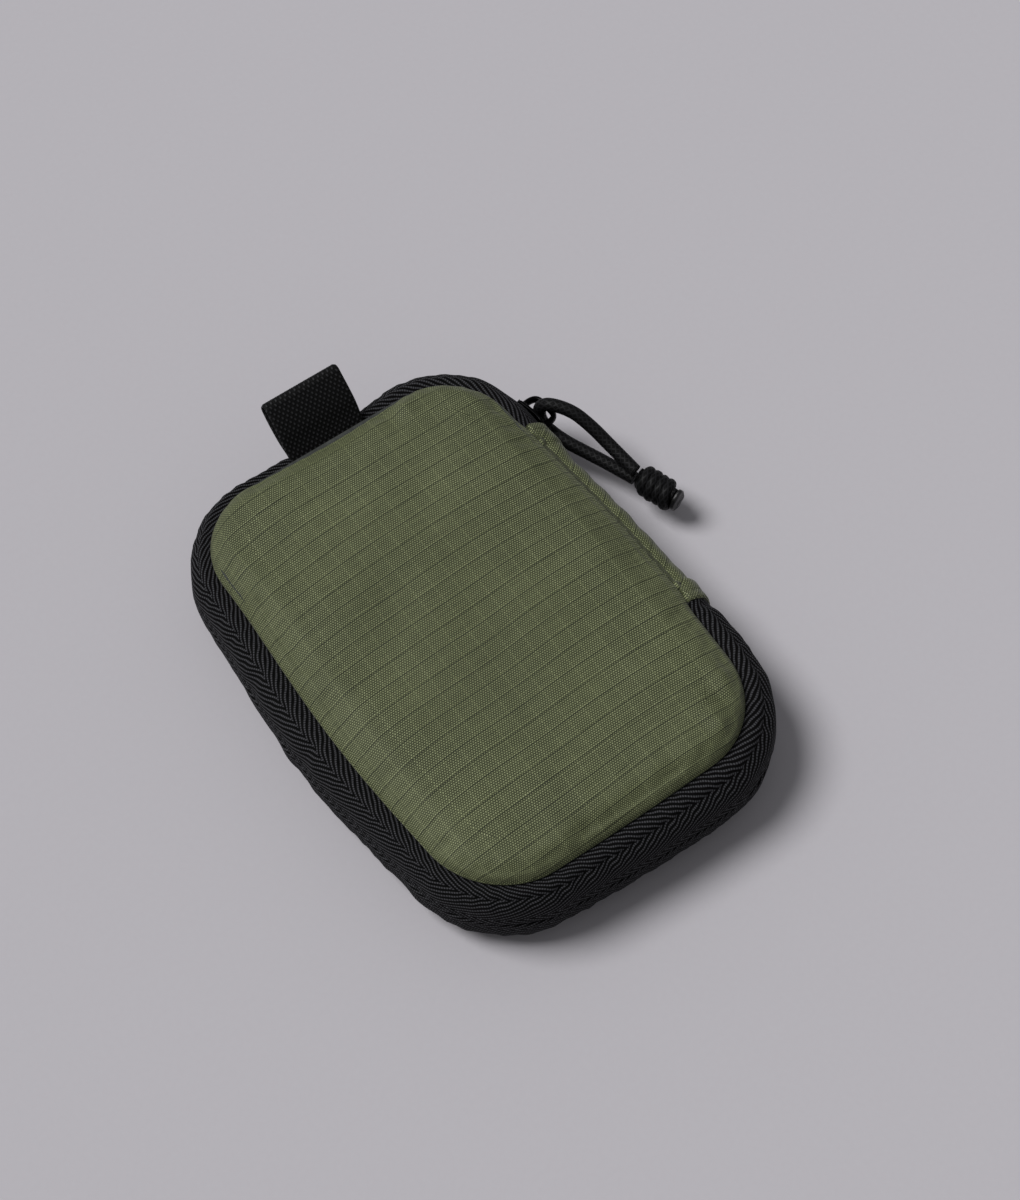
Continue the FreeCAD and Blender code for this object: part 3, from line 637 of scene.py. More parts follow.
def barrel_knot():
    """Four wraps of the same cord round its two legs, the wraps pressed side by side."""
    x, y = frames_along(np.stack([KNOT_NEAR, KNOT_NEAR + KNOT_DIR]))[1:]
    x, y = x[0], y[0]
    turns, pitch = 4.0, KNOT_LEN / 4
    rr = KNOT_D / 2 - CORD_D / 2 + 0.05
    q = np.arange(-0.22, turns + 0.22, 1 / 72.0)
    rng = np.random.default_rng(5)
    lift = 0.16 * wobble(q, [0.9, 2.1], 11)
    r = rr + lift
    r = r * (1 - 0.55 * smooth((-q) / 0.22)) * (1 - 0.55 * smooth((q - turns) / 0.22))
    along = np.clip(q, 0, turns) * pitch * (KNOT_LEN - CORD_D) / KNOT_LEN + CORD_D / 2 + 0.10 * wobble(q, [1.3], 12)
    ang = TAU * q + math.radians(100)
    pts = KNOT_NEAR + KNOT_DIR * along[:, None] + x * (np.cos(ang) * r)[:, None] + y * (np.sin(ang) * r)[:, None]
    return tube(pts, 1.68, 32, relief=plait)


parts = [barrel_knot()]
core = np.stack([KNOT_NEAR + KNOT_DIR * q for q in np.linspace(0.7, KNOT_LEN - 0.5, 8)])
for side in (-1, 1):
    shift = np.array([0, 0, 1.75]) * side
    parts.append(tube(core + shift, CORD_D / 2 - 0.1, 20, relief=plait))
v, f, w = joined(parts)
knot = make("barrel_knot_wraps", v, f, w)
paint(knot, M_CORD)
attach(knot, "pull")
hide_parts("pull_knot")


def fused_cap():
    """Both cord ends melted flat against the knot into one plate."""
    base = KNOT_NEAR + KNOT_DIR * (KNOT_LEN - 0.25)
    up = np.array([0, 0, 1.0])
    a = np.cross(KNOT_DIR, up)
    a /= np.linalg.norm(a)
    b = np.cross(a, KNOT_DIR)
    n = 56
    ang = np.arange(n) / n * TAU
    rim = 3.45 - 0.42 * np.cos(2 * ang + 0.3) + 0.14 * np.cos(3 * ang + 1.2) + 0.07 * np.cos(7 * ang)
    prof = [(0.90, 0.0), (0.98, 0.12), (1.0, 0.40), (1.0, 0.85), (0.97, 1.12), (0.90, 1.30), (0.80, 1.36), (0.66, 1.33),
            (0.48, 1.25), (0.30, 1.22), (0.12, 1.21)]
    v = []
    for k, h in prof:
        hh = h + (0.06 * np.cos(5 * ang + k * 9) if h > 1 else 0)
        v.append(base + a * (np.cos(ang) * rim * k)[:, None] + b * (np.sin(ang) * rim * k)[:, None]
                 + KNOT_DIR * (np.zeros(n) + hh)[:, None])
    v = np.stack(v)
    f = grid(len(prof), n, close_v=True)
    f.append(list(range(n)))
    f.append([(len(prof) - 1) * n + j for j in range(n)][::-1])
    return v.reshape(-1, 3), f, None, base, a, b


v, f, w, cap_base, cap_a, cap_b = fused_cap()
cap = make("fused_cord_ends", v, f)
paint(cap, M_FUSED)
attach(cap, "pull")
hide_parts("cord_fused_ends")
parts = []
for k, (da, db) in enumerate(((0.35, 1.75), (-0.45, -1.85))):
    c = cap_base + cap_a * da + cap_b * db + KNOT_DIR * 1.22
    n = 20
    ang = np.arange(n) / n * TAU
    rim = 0.92 + 0.14 * np.cos(2 * ang + k) + 0.08 * np.cos(5 * ang)
    rows = []
    for q, h in ((1.0, -0.1), (0.96, 0.10), (0.80, 0.21), (0.5, 0.19), (0.2, 0.13)):
        rows.append(c + cap_a * (np.cos(ang) * rim * q)[:, None] + cap_b * (np.sin(ang) * rim * q)[:, None] + KNOT_DIR * h)
    v = np.stack(rows)
    f = grid(5, n, close_v=True)
    f.append(list(range(n)))
    f.append([4 * n + j for j in range(n)][::-1])
    parts.append((v.reshape(-1, 3), f, None))
v, f, w = joined(parts)
cores = make("fused_cord_cores", v, f)
paint(cores, M_CORE)
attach(cores, "pull")


# ------------------------------------------------------------------ padded panels
N_ROUND = 300
S_ROUND = np.arange(N_ROUND) / N_ROUND * ROUND
DEPTHS = [0.0, 0.35, 0.8, 1.35, 2.0, 2.8, 3.7, 4.8, 6.1, 7.6, 9.2, 10.6, 12.0]


def disc(depths=DEPTHS, base=0, flip=False):
    """The outline's area as points: rings in from the edge, then a square net over the middle.
    Returns the points, how far in each one is, and the faces."""
    p, n = foot(S_ROUND)
    ring = [p - n * d for d in depths]
    nr, r = len(ring), ring[-1]
    c, nu, nv = 45, 60, 90
    f = grid(nr, N_ROUND, close_v=True, base=base, flip=not flip)
    u, v = np.arange(nu + 1)[:, None, None] / nu, np.arange(nv + 1)[None, :, None] / nv
    top, low = r[c + np.arange(nu + 1)][:, None], r[c + 210 - np.arange(nu + 1)][:, None]
    left, right = r[c + nu + np.arange(nv + 1)][None], r[(c + N_ROUND - np.arange(nv + 1)) % N_ROUND][None]
    net = (1 - v) * top + v * low + (1 - u) * right + u * left
    net = net - ((1 - u) * (1 - v) * top[0, 0] + u * (1 - v) * top[-1, 0] + (1 - u) * v * low[0, 0] + u * v * low[-1, 0])
    ids = np.full((nu + 1, nv + 1), -1)
    last = (nr - 1) * N_ROUND
    ids[:, 0] = last + c + np.arange(nu + 1)
    ids[:, -1] = last + c + 210 - np.arange(nu + 1)
    ids[-1, :] = last + c + nu + np.arange(nv + 1)
    ids[0, :] = last + (c + N_ROUND - np.arange(nv + 1)) % N_ROUND
    inner = net[1:-1, 1:-1].reshape(-1, 2)
    ids[1:-1, 1:-1] = nr * N_ROUND + np.arange(len(inner)).reshape(nu - 1, nv - 1)
    quads = np.stack([ids[:-1, :-1], ids[1:, :-1], ids[1:, 1:], ids[:-1, 1:]], -1).reshape(-1, 4)
    if flip:
        quads = quads[:, ::-1]
    f += (quads + base).tolist()
    ax, ay = HX - np.sqrt(inner[:, 0] ** 2 + 25), HY - np.sqrt(inner[:, 1] ** 2 + 25)
    mid = np.maximum(0.44 - 4 * np.log(np.exp(-ax / 4) + np.exp(-ay / 4)), depths[-1])
    far = np.concatenate([np.repeat(np.array(depths, float), N_ROUND), mid])
    return np.concatenate(ring + [inner]), far, f


def crown(d):
    """Height of the front panel above its seam at a distance in from the outline."""
    t = np.clip(d / 4.4, 0, 1)
    return 3.15 * np.sqrt(np.clip(1 - (1 - t) ** 2.2, 0, 1)) + 0.95 * (1 - np.exp(-d / 13.0))


def cloth_pad():
    """The front panel's cloth: a closed form over the foam, its cut a little larger than the sewn outline, blown up
    by Blender's cloth solver with the seam held. Returns how far each point of the top moved, in millimetres."""
    flat, far, f = disc()
    top = np.concatenate([flat, crown(far)[:, None]], -1)
    base = len(top)
    under, _, fl = disc([0.6, 4.0, 8.0, 12.0], base=base, flip=True)
    verts = np.concatenate([top, np.concatenate([under, np.full((len(under), 1), -0.15)], -1)])
    f += fl + [[j, base + j, base + (j + 1) % N_ROUND, (j + 1) % N_ROUND] for j in range(N_ROUND)]
    me = bpy.data.meshes.new("pad_sim")
    me.from_pydata((verts * 0.01).tolist(), [], f)
    me.update()
    ob = bpy.data.objects.new("pad_sim", me)
    scene.collection.objects.link(ob)
    held = ob.vertex_groups.new(name="held")
    held.add(list(range(2 * N_ROUND)) + list(range(base, len(verts))), 1.0, "REPLACE")
    mod = ob.modifiers.new("Cloth", "CLOTH")
    st = mod.settings
    st.quality = 6
    st.mass = 0.02
    st.air_damping = 2.0
    st.tension_stiffness = st.compression_stiffness = 12.0
    st.shear_stiffness = 3.0
    st.bending_stiffness = 0.25
    st.shrink_min = -0.018
    st.use_pressure = True
    st.uniform_pressure_force = 4.0
    st.vertex_group_mass = "held"
    st.pin_stiffness = 1.0
    st.effector_weights.gravity = 0.0
    mod.collision_settings.use_collision = False
    mod.collision_settings.use_self_collision = False
    mod.point_cache.frame_start, mod.point_cache.frame_end = 1, 26
    for k in range(1, 25):
        scene.frame_set(k)
    deps = bpy.context.evaluated_depsgraph_get()
    got = ob.evaluated_get(deps).to_mesh()
    co = np.zeros(len(got.vertices) * 3, np.float32)
    got.vertices.foreach_get("co", co)
    moved = co.reshape(-1, 3)[:base].astype(float) * 100 - top
    ob.evaluated_get(deps).to_mesh_clear()
    scene.frame_set(1)
    bpy.data.objects.remove(ob)
    bpy.data.meshes.remove(me)
    return moved


swell = cloth_pad()
size = np.linalg.norm(swell, axis=-1, keepdims=True)
print("cloth moved: mean %.2f mm, most %.2f mm" % (size.mean(), size.max()))
swell = swell * np.minimum(1, 1.5 / np.maximum(size, 1e-6))

# gathers where the cloth is drawn into the seam: point, length inward, half width, depth, lean
GATHERS = [(17.5, 70.5, 15, 2.6, -0.75, 0.25), (24, 69.5, 11, 2.2, 0.5, 0.1), (11, 70.8, 8, 2.0, 0.35, 0.0),
           (-46.5, 40, 20, 3.4, 0.70, -0.9), (-47.5, 31, 18, 3.2, -0.65, -0.8), (-48, 12, 15, 2.8, 0.45, -0.5),
           (-48, 2, 14, 2.6, -0.45, -0.4), (-48, -14, 12, 3.0, 0.35, -0.3), (-47.8, -38, 12, 2.6, -0.35, 0.1),
           (-12, -71, 12, 2.6, -0.50, 0.3), (-19, -71, 10, 2.2, 0.35, 0.2), (14, -71, 10, 2.4, -0.35, -0.2),
           (33, -66, 12, 2.4, 0.45, 0.0), (39, -61, 13, 2.4, -0.55, 0.1), (43, -55, 10, 2.2, 0.35, 0.1),
           (48, -12, 10, 3.0, -0.30, 0.3), (48, 22, 12, 2.6, 0.35, 0.2), (46.8, 55, 10, 2.4, -0.4, 0.0)]


def gathers(x, y, reach=1.0):
    out = np.zeros_like(x)
    for px, py, length, half, depth, lean in GATHERS:
        c = np.array([px, py]) * 0.0 - np.array([px * 0.75, py])
        c = c / np.linalg.norm(c)
        side = np.array([-c[1], c[0]])
        c = c + side * lean
        c = c / np.linalg.norm(c)
        side = np.array([-c[1], c[0]])
        a = (x - px) * c[0] + (y - py) * c[1]
        b = (x - px) * side[0] + (y - py) * side[1]
        half_a = half * (0.7 + 0.6 * np.clip(a, 0, length * 2) / length)
        out += depth * np.exp(-(b / half_a) ** 2) * smooth((a + 1.0) / 3.0) * (1 - smooth(a / (length * reach)))
    return out


def panel(name, front):
    flat, d, f = disc()
    x, y = flat.T
    z = crown(d)
    side = np.array([1 if front else -1, 1])
    inner = smooth(d / 2.5)
    near = np.tile(foot(S_ROUND)[1], (len(DEPTHS), 1))
    near = np.concatenate([near, np.zeros((len(flat) - len(near), 2))])
    ring_s = np.concatenate([np.tile(S_ROUND, len(DEPTHS)), np.zeros(len(flat) - len(DEPTHS) * N_ROUND)])
    z = z + 2.4 * gathers(x, y) * inner
    z = z + 0.20 * noise2(x, y, 26, 3) * inner + 0.10 * noise2(x, y, 9, 4) * inner * (1 - smooth(d / 26) * 0.8)
    z = z + 0.13 * wobble(ring_s, [7, 4.2], 21, ROUND) * inner * (1 - smooth(d / 11))
    beside_spine = np.where(x > 0, smooth((y + 32) / 6) * smooth((46 - y) / 6), 0.0)
    draw_in = 0.95 * (1 - smooth(d / 10)) * (1 - 0.85 * beside_spine)
    top = np.concatenate([(flat - near * draw_in[:, None]) * side, z[:, None]], -1) + swell * np.append(side, 1)
    # the cloth can't sink into the foam under it
    over = top[:, 2] - 2.72 * np.clip((d + draw_in - 1.35) / 0.6, 0, 1)
    top[:, 2] += 0.5 * (np.sqrt(over ** 2 + 0.02) - over)
    # the cloth's own coordinates: flat distances, plus what the rolled rim takes up, with rows that sag to the left
    roll = np.interp(d, [0, 0.8, 2, 4.4, 8], [3.1, 1.7, 0.7, 0.05, 0.0])
    u, v = ((flat + near * roll[:, None]) * side).T
    sag = 3.4 * np.clip((12 - u) / 60, 0, 1) ** 1.5 + 0.5 * noise2(u, v, 60, 8)
    weave = np.stack([u + 0.35 * noise2(u, v, 70, 9) - 0.010 * v, v + sag, 0 * u], -1)
    base = len(top)
    under, _, fl = disc([0.5, 3.0, 8.0, 12.0], base=base, flip=True)
    under = np.concatenate([under * side, np.full((len(under), 1), -0.12)], -1)
    verts = warp(np.concatenate([top, under]))
    f += fl + [[j, base + j, base + (j + 1) % N_ROUND, (j + 1) % N_ROUND] for j in range(N_ROUND)]
    wv = np.concatenate([weave, under * [1, 1, 0]])
    if front:
        verts[:, 2] = 26.65 + verts[:, 2]
    else:
        h = 3.35 - verts[:, 2]
        verts[:, 2] = np.where(h < 0.35, 0.02 + 0.33 * np.exp((np.minimum(h, 0.35) - 0.35) / 0.9), h)
    ob = make(name, verts, f, wv)
    return subdivided(ob, 1)


front = panel("front_panel_cloth", True)
paint(front, M_RIP)
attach(front, "lid")
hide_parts("front_panel")
back = panel("back_panel_cloth", False)
paint(back, M_RIP)
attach(back, "base")
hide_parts("back_panel")
for node in ("front_foam", "back_foam"):
    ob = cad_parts[node]
    ob.data.materials.clear()
    ob.data.materials.append(M_FOAM)


# ------------------------------------------------------------------ zipper tapes
COLS = (3.6, 11.0)          # the herringbone's columns, measured from the seam
TAPE_ARC = math.radians(60.0)


def bulge(s):
    """How full the wall stands out at each running length: drawn in beside the webbing and round the (-X, +Y) corner."""
    at = [0, 84, 88, 96, 104, 120, 134, 150, 166, 182, 205, 226, 244, 262, 284, 304, 322, 345, 385, 415, 436.5]
    k = [1, 1, 0.98, 0.80, 0.66, 0.62, 0.60, 0.66, 0.80, 0.92, 0.98, 0.94, 0.78, 0.66, 0.66, 0.76, 0.94, 1.08, 1.08, 1.0, 1.0]
    fine = np.interp(np.mod(s, ROUND), at, k)
    acc = np.zeros_like(fine)
    for d in np.linspace(-8, 8, 9):
        acc += np.interp(np.mod(s + d, ROUND), at, k)
    clear = (np.mod(s, ROUND) > 36) & (np.mod(s, ROUND) < 62)
    return np.where(clear, fine, acc / 9)


def tape_profile(full=1.0):
    """Outer and inner lines of the upper tape, from inside the seam to the zipper line, as offset, height above it,
    and the length across the tape. Both lines run the same way."""
    out = [(-2.4, 10.95, -3.2), (-1.3, 11.05, -2.1), (-0.5, 11.2, -1.2)]
    a = np.linspace(TAPE_ARC, math.radians(4.0), 44)
    t = (TAPE_ARC - a) * WR
    r = WR - 0.35 * np.exp(-(t / 0.6) ** 2) + full * (0.75 * np.exp(-((t - 1.9) / 1.3) ** 2) + 1.15 * np.exp(-((t - 6.3) / 3.4) ** 2))
    arc = np.stack([WO + r * np.cos(a), r * np.sin(a), t], -1)
    end = arc[-1]
    lip = [(end[0] - 0.10, 0.55, end[2] + 0.4), (end[0] - 0.38, 0.26, end[2] + 0.8), (end[0] - 0.95, 0.17, end[2] + 1.4),
           (end[0] - 1.9, 0.22, end[2] + 2.3)]
    outer = np.concatenate([np.array(out), arc, np.array(lip)])
    a = np.linspace(TAPE_ARC, math.radians(7.0), 14)
    r = WR - 0.75
    inner = np.concatenate([[(-1.7, 10.3, 0), (-0.5, 10.35, 0)],
                            np.stack([WO + r * np.cos(a), r * np.sin(a), a * 0], -1),
                            [(end[0] - 1.9, 0.85, 0)]])
    return outer, inner


OUTER, INNER = tape_profile()
SLIM = tape_profile(0.0)[0]


def tape(name, s0, s1, upper, body):
    s = np.linspace(s0, s1, max(4, int((s1 - s0) / 0.42)))
    k = bulge(s)[:, None]
    sag = 0.22 * wobble(s, [19, 11], 31 if upper else 32, ROUND)[:, None]
    pucker = 0.16 * wobble(s, [6.5, 4.0], 33 if upper else 34, ROUND)[:, None]
    quiet = smooth(np.minimum(np.abs(np.mod(s - 50, ROUND)), np.abs(np.mod(50 - s, ROUND))) / 9 - 1.0)[:, None]

    def shaped(line, relief):
        o, h, t = line[None, :, 0], line[None, :, 1], line[None, :, 2]
        if relief:
            slim = 1 - smooth(np.minimum((s - 54) / 9, (ROUND - 29 - s) / 6))[:, None]
            o = o + slim * (SLIM[None, :, 0] - o)
            h = h + slim * (SLIM[None, :, 1] - h)
        full = np.clip(o, 0, None) / 7.5
        off = o * np.where(o > 0, k, 1) + full * sag * quiet
        off = off + pucker * quiet * np.exp(-((h - 9.5) / 2.6) ** 2) * 1.4
        nx = np.gradient(line[:, 1])
        ny = -np.gradient(line[:, 0])
        ln = np.hypot(nx, ny)
        nx, ny = -nx / ln, -ny / ln
        hh = h + 0 * off
        if relief:
            col = np.where(t < COLS[0], 0, np.where(t < COLS[1], 1, 2))
            fold = np.where(col == 0, -t, np.where(col == 1, t - 2 * COLS[0], -t + 2 * (COLS[1] - COLS[0])))
            beta = math.radians(28)
            ph = (s[:, None] * math.sin(beta) + fold * math.cos(beta) + col * 0.56) / 1.13
            rib = 0.5 + 0.5 * np.sin(TAU * ph)
            edge = np.exp(-((t - COLS[0]) / 0.35) ** 2) + np.exp(-((t - COLS[1]) / 0.35) ** 2)
            amp = 0.15 * smooth((t + 0.5) / 1.0) * (1 - smooth((t - 13.0) / 0.8))
            rel = amp * (rib - 0.5) - 0.10 * edge * (amp > 0)
            off = off + nx[None] * rel
            hh = hh + ny[None] * rel
            weave = np.stack([s[:, None] + 0 * off, fold + 0 * off, col + 0 * off], -1)
        else:
            weave = np.stack([s[:, None] + 0 * off, o + 0 * off, 0 * off], -1)
        return off, hh, weave
    o1, h1, w1 = shaped(OUTER, True)
    o2, h2, w2 = shaped(INNER, False)
    off = np.concatenate([o1, o2[:, ::-1]], 1)
    hh = np.concatenate([h1, h2[:, ::-1]], 1)
    wv = np.concatenate([w1, w2[:, ::-1]], 1)
    z = ZC + hh if upper else ZC - hh
    p, n = foot(s)
    v = np.stack([p[:, None, 0] + n[:, None, 0] * off, p[:, None, 1] + n[:, None, 1] * off, z], -1)
    kk = off.shape[1]
    f = grid(len(s), kk, close_v=True, flip=not upper)
    a, b = list(range(kk)), [(len(s) - 1) * kk + j for j in range(kk)]
    f += [a[::-1], b] if not upper else [a, b[::-1]]
    f = [q[::-1] for q in f]
    ob = make(name, warp(v.reshape(-1, 3)), f, wv)
    paint(ob, M_TAPE)
    if body:
        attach(ob, body)
    return ob


S_A, S_A2, S_B2, S_B = 36.0, 46.0, ROUND - 34.0, ROUND - 22.0
upper_main = tape("zip_tape_upper_woven", S_A2, S_B2, True, "lid")
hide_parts("zip_tape_upper", "zip_tape_upper_run")
lower_main = tape("zip_tape_lower_woven", S_A2, S_B2, False, "base")
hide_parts("zip_tape_lower")
end = tape("zip_tape_upper_end_slider", S_A, S_A2, True, None)
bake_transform(end)
end = tape("zip_tape_upper_end_far", S_B2, S_B, True, None)
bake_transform(end)
end = tape("zip_tape_lower_end_slider", S_A, S_A2, False, None)
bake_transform(end)
end = tape("zip_tape_lower_end_far", S_B2, S_B, False, None)
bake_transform(end)


# ------------------------------------------------------------------ fabric spine
def spine():
    y0, y1 = -28.5, 42.5
    y = np.concatenate([np.linspace(y0, y0 + 8, 34), np.linspace(y0 + 8, y1 - 8, 110)[1:], np.linspace(y1 - 8, y1, 34)[1:]])
    de = np.minimum(y - y0, y1 - y)
    over = 0.78 * (1 - smooth((de - 6.2) / 2.2))
    over = over - 0.20 * np.exp(-((de - 2.7) / 0.42) ** 2)
    over = over - 0.55 * (1 - np.sqrt(np.clip(1 - (1 - np.clip(de / 0.6, 0, 1)) ** 2, 0, 1)))
    a = np.linspace(math.radians(61), math.radians(-61), 64)
    wr = 0.30 * wobble(y, [17, 9], 41)[:, None] * smooth((de - 3) / 6)[:, None]
    low = smooth((-8 - y) / 14)[:, None]
    crease = 0.26 * low * np.sin(TAU * (y[:, None] / 7.5 + a[None] * 0.55 + 0.2)) * smooth((de - 3.5) / 3)[:, None]
    r = WR + over[:, None] + (wr + crease) * np.cos(a)[None] ** 2 * 0.9 - 1.45 * np.exp(-((np.abs(a[None]) - 1.06) / 0.15) ** 2) * smooth((de - 2) / 5)[:, None] + 0.45 * np.exp(-((np.abs(a[None]) - 0.62) / 0.25) ** 2)
    o = WO + r * np.cos(a)[None]
    z = ZC + r * np.sin(a)[None]
    trim = (1 - 0.09 * smooth((de - 8) / 9))[:, None]
    o = np.where(o > 0, o * trim, o)
    tuck = np.ones_like(y)[:, None]
    ot = np.concatenate([-1.5 * tuck, -0.4 * tuck, 0.5 * tuck], 1)
    zt = np.concatenate([10.7 * tuck, 10.8 * tuck, 10.85 * tuck], 1)
    outer_o = np.concatenate([ot, o, ot[:, ::-1]], 1)
    outer_z = np.concatenate([ZC + zt, z, ZC - zt[:, ::-1]], 1)
    ri = (WR + 0.06 - 0.82 * smooth((de - 6.6) / 1.6))[:, None]
    ai = np.linspace(math.radians(60), math.radians(-60), 24)[None]
    io = WO + ri * np.cos(ai)
    io = np.concatenate([-1.4 * tuck, np.where(io > 0, io * trim, io), -1.4 * tuck], 1)
    iz = np.concatenate([ZC + 10.7 * tuck, ZC + ri * np.sin(ai), ZC - 10.7 * tuck], 1)
    off = np.concatenate([outer_o, io[:, ::-1]], 1)
    zz = np.concatenate([outer_z, iz[:, ::-1]], 1)
    k = off.shape[1]
    v = np.stack([HX + off, np.repeat(y[:, None], k, 1), zz], -1)
    arc = np.concatenate([[[-3.0, -1.6, -0.6]], (a[0] - a)[None] * WR, [[28.9, 29.9, 31.3]]], 1)
    t = np.concatenate([np.repeat(arc, len(y), 0), np.repeat(ai[:, ::-1] * WR, len(y), 0), np.zeros((len(y), 2))], 1)
    t = t[:, :k]
    c, s = math.cos(math.radians(38)), math.sin(math.radians(38))
    wv = np.stack([t * c + y[:, None] * s, -t * s + y[:, None] * c, np.zeros_like(t)], -1)
    f = grid(len(y), k, close_v=True)
    f.append(list(range(k))[::-1])
    f.append([(len(y) - 1) * k + j for j in range(k)])
    ob = make("spine_fabric", warp(v.reshape(-1, 3)), f, wv)
    paint(ob, M_RIP)
    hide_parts("spine_panel", "spine_cuffs")
    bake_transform(ob)
    parts = []
    for ys in (y0 + 2.7, y1 - 2.7):
        q = np.linspace(math.radians(57), math.radians(-57), 60)
        rr = WR + 0.60
        line = np.stack([HX + (WO + rr * np.cos(q)), np.full_like(q, ys), ZC + rr * np.sin(q)], -1)
        up = np.stack([np.cos(q), 0 * q, np.sin(q)], -1)
        parts.append(stitches(warp(line), up, 1.9, 0.7, 0.40, 0.02, seed=int(abs(ys))))
    v, f, w = joined(parts)
    st = make("cuff_stitches", v, f, w)
    paint(st, M_THREAD_GREEN)
    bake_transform(st)
    # lining strip behind the spine
    yl = np.linspace(-21.5, 35.5, 60)
    al = np.linspace(math.radians(56), math.radians(-56), 30)[None]
    ra = (WR - 0.95) + 0.06 * wobble(yl, [14, 8], 43)[:, None]
    oo = (WO + ra * np.cos(al)) * 0.92
    zz = ZC + ra * np.sin(al) + 0 * oo
    ob2 = (WO + (ra - 0.55) * np.cos(al)) * 0.92
    z2 = ZC + (ra - 0.55) * np.sin(al)
    off = np.concatenate([oo, ob2[:, ::-1]], 1)
    z3 = np.concatenate([zz, z2[:, ::-1]], 1)
    k = off.shape[1]
    v = np.stack([HX + off, np.repeat(yl[:, None], k, 1), z3], -1)
    tt = np.concatenate([al * WR, al[:, ::-1] * WR], 1)
    wv = np.stack([np.repeat(tt, len(yl), 0), np.repeat(yl[:, None], k, 1), np.zeros((len(yl), k))], -1)
    f = grid(len(yl), k, close_v=True)
    f.append(list(range(k))[::-1])
    f.append([(len(yl) - 1) * k + j for j in range(k)])
    lin_ob = make("spine_lining_cloth", warp(v.reshape(-1, 3)), f, wv)
    paint(lin_ob, M_LINING)
    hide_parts("spine_lining")
    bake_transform(lin_ob)


spine()


# ------------------------------------------------------------------ webbing loop
def webbing():
    ay, az, ang = HY + 0.6, 27.4, math.radians(40)
    uy, uz = math.cos(ang), math.sin(ang)
    t, g = 1.25, 0.95
    length = 16.4
    mid = g + t / 2
    tip = length - (g + t)
    # centre line of the ply: out along the top, round the fold, back along the bottom
    a, b = [], []
    for q in np.linspace(-1.6, 6.0, 22):
        a.append(q)
        b.append(0.62 + (mid - 0.62) * smooth((q - 1.0) / 5.0) + 0.10 * math.sin(q))
    for q in np.linspace(6.0, tip, 26)[1:]:
        a.append(q)
        b.append(mid + 0.18 * math.sin((q - 6.0) / (tip - 6.0) * math.pi))
    for q in np.linspace(math.pi / 2, -math.pi / 2, 22)[1:-1]:
        a.append(tip + mid * math.cos(q) * 1.02)
        b.append(mid * math.sin(q))
    for q in np.linspace(tip, 6.0, 26):
        a.append(q)
        b.append(-mid - 0.10 * math.sin((q - 6.0) / (tip - 6.0) * math.pi))
    for q in np.linspace(6.0, -1.6, 22)[1:]:
        a.append(q)
        b.append(-(0.62 + (mid - 0.62) * smooth((q - 1.0) / 5.0)))
    line = resample(np.stack([a, b, np.zeros(len(a))], -1), 0.27)[:, :2]
    tan = np.gradient(line, axis=0)
    tan /= np.linalg.norm(tan, axis=1)[:, None]
    nrm = np.stack([-tan[:, 1], tan[:, 0]], -1)
    L = np.concatenate([[0.0], np.cumsum(np.linalg.norm(np.diff(line, axis=0), axis=1))])
    width, nx = 25.0, 96
    u = np.linspace(-width / 2, width / 2, nx)
    LL, UU = np.meshgrid(L, u, indexing="ij")
    cross = np.sin(math.pi * UU / 0.80) * np.sin(math.pi * LL / 0.98)
    relief = 0.13 * np.where(cross > 0, np.abs(cross) ** 0.7, -0.35 * np.abs(cross))
    selv = 1 - smooth((np.abs(UU) - width / 2 + 0.9) / 0.9)
    sheets = []
    for sgn in (1, -1):
        half = (t / 2 - 0.1) * (0.35 + 0.65 * np.sqrt(np.clip(selv, 0, 1)))
        n_off = sgn * (half + (relief if sgn > 0 else 0.13 * np.where(cross < 0, np.abs(cross) ** 0.7, -0.35 * np.abs(cross))) * selv)
        aa = line[:, None, 0] + nrm[:, None, 0] * n_off
        bb = line[:, None, 1] + nrm[:, None, 1] * n_off
        draw = 1 - 0.022 * smooth((3.5 - aa) / 5.0) + 0.006 * np.sin(LL / 3.1)
        skew = 0.035 * (aa - 3)
        x = 1.3 + UU * draw * 0.965 + skew * 0.4
        sheets.append(np.stack([x, ay + aa * uy - bb * uz, az + aa * uz + bb * uy], -1))
    k = 2 * nx
    v = np.concatenate([sheets[0], sheets[1][:, ::-1]], 1)
    wv = np.stack([np.concatenate([UU, UU[:, ::-1]], 1), np.concatenate([LL, LL[:, ::-1]], 1), np.zeros((len(L), k))], -1)
    f = grid(len(L), k, close_v=True, flip=True)
    f.append(list(range(k)))
    f.append([(len(L) - 1) * k + j for j in range(k)][::-1])
    ob = make("webbing_loop_woven", v, f, wv)
    paint(ob, M_WEB)
    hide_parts("webbing_loop")
    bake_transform(ob)


webbing()


# ------------------------------------------------------------------ slider
def bent_plate(r0, r1, z_half, a0, a1, taper=0.0, dome=0.0, n=22, m=12):
    """A plate that follows the corner: its outline narrows towards a1, its outer face is domed."""
    q = np.linspace(0, 1, n)
    ends = np.sqrt(np.clip(1 - (np.abs(q - 0.5) * 2) ** 6, 0, 1))
    half = z_half * (1 - taper * smooth(q * 1.1)) * (0.70 + 0.30 * ends)
    t = np.linspace(-1, 1, m)
    ang = np.radians(a0 + (a1 - a0) * q)
    rows = []
    for r, lift in ((r1, dome), (r0, 0.0)):
        bow = lift * (1 - t[None] ** 2) * np.sin(q * math.pi)[:, None] ** 0.5
        rr = r + bow
        z = ZC + half[:, None] * t[None]
        rows.append(np.stack([CX + np.cos(ang)[:, None] * rr, CY + np.sin(ang)[:, None] * rr, z + 0 * rr], -1))
    v = np.concatenate([rows[0], rows[1][:, ::-1]], 1)
    k = 2 * m
    f = grid(n, k, close_v=True)
    f.append(list(range(k))[::-1])
    f.append([(n - 1) * k + j for j in range(k)])
    return v.reshape(-1, 3), f, None


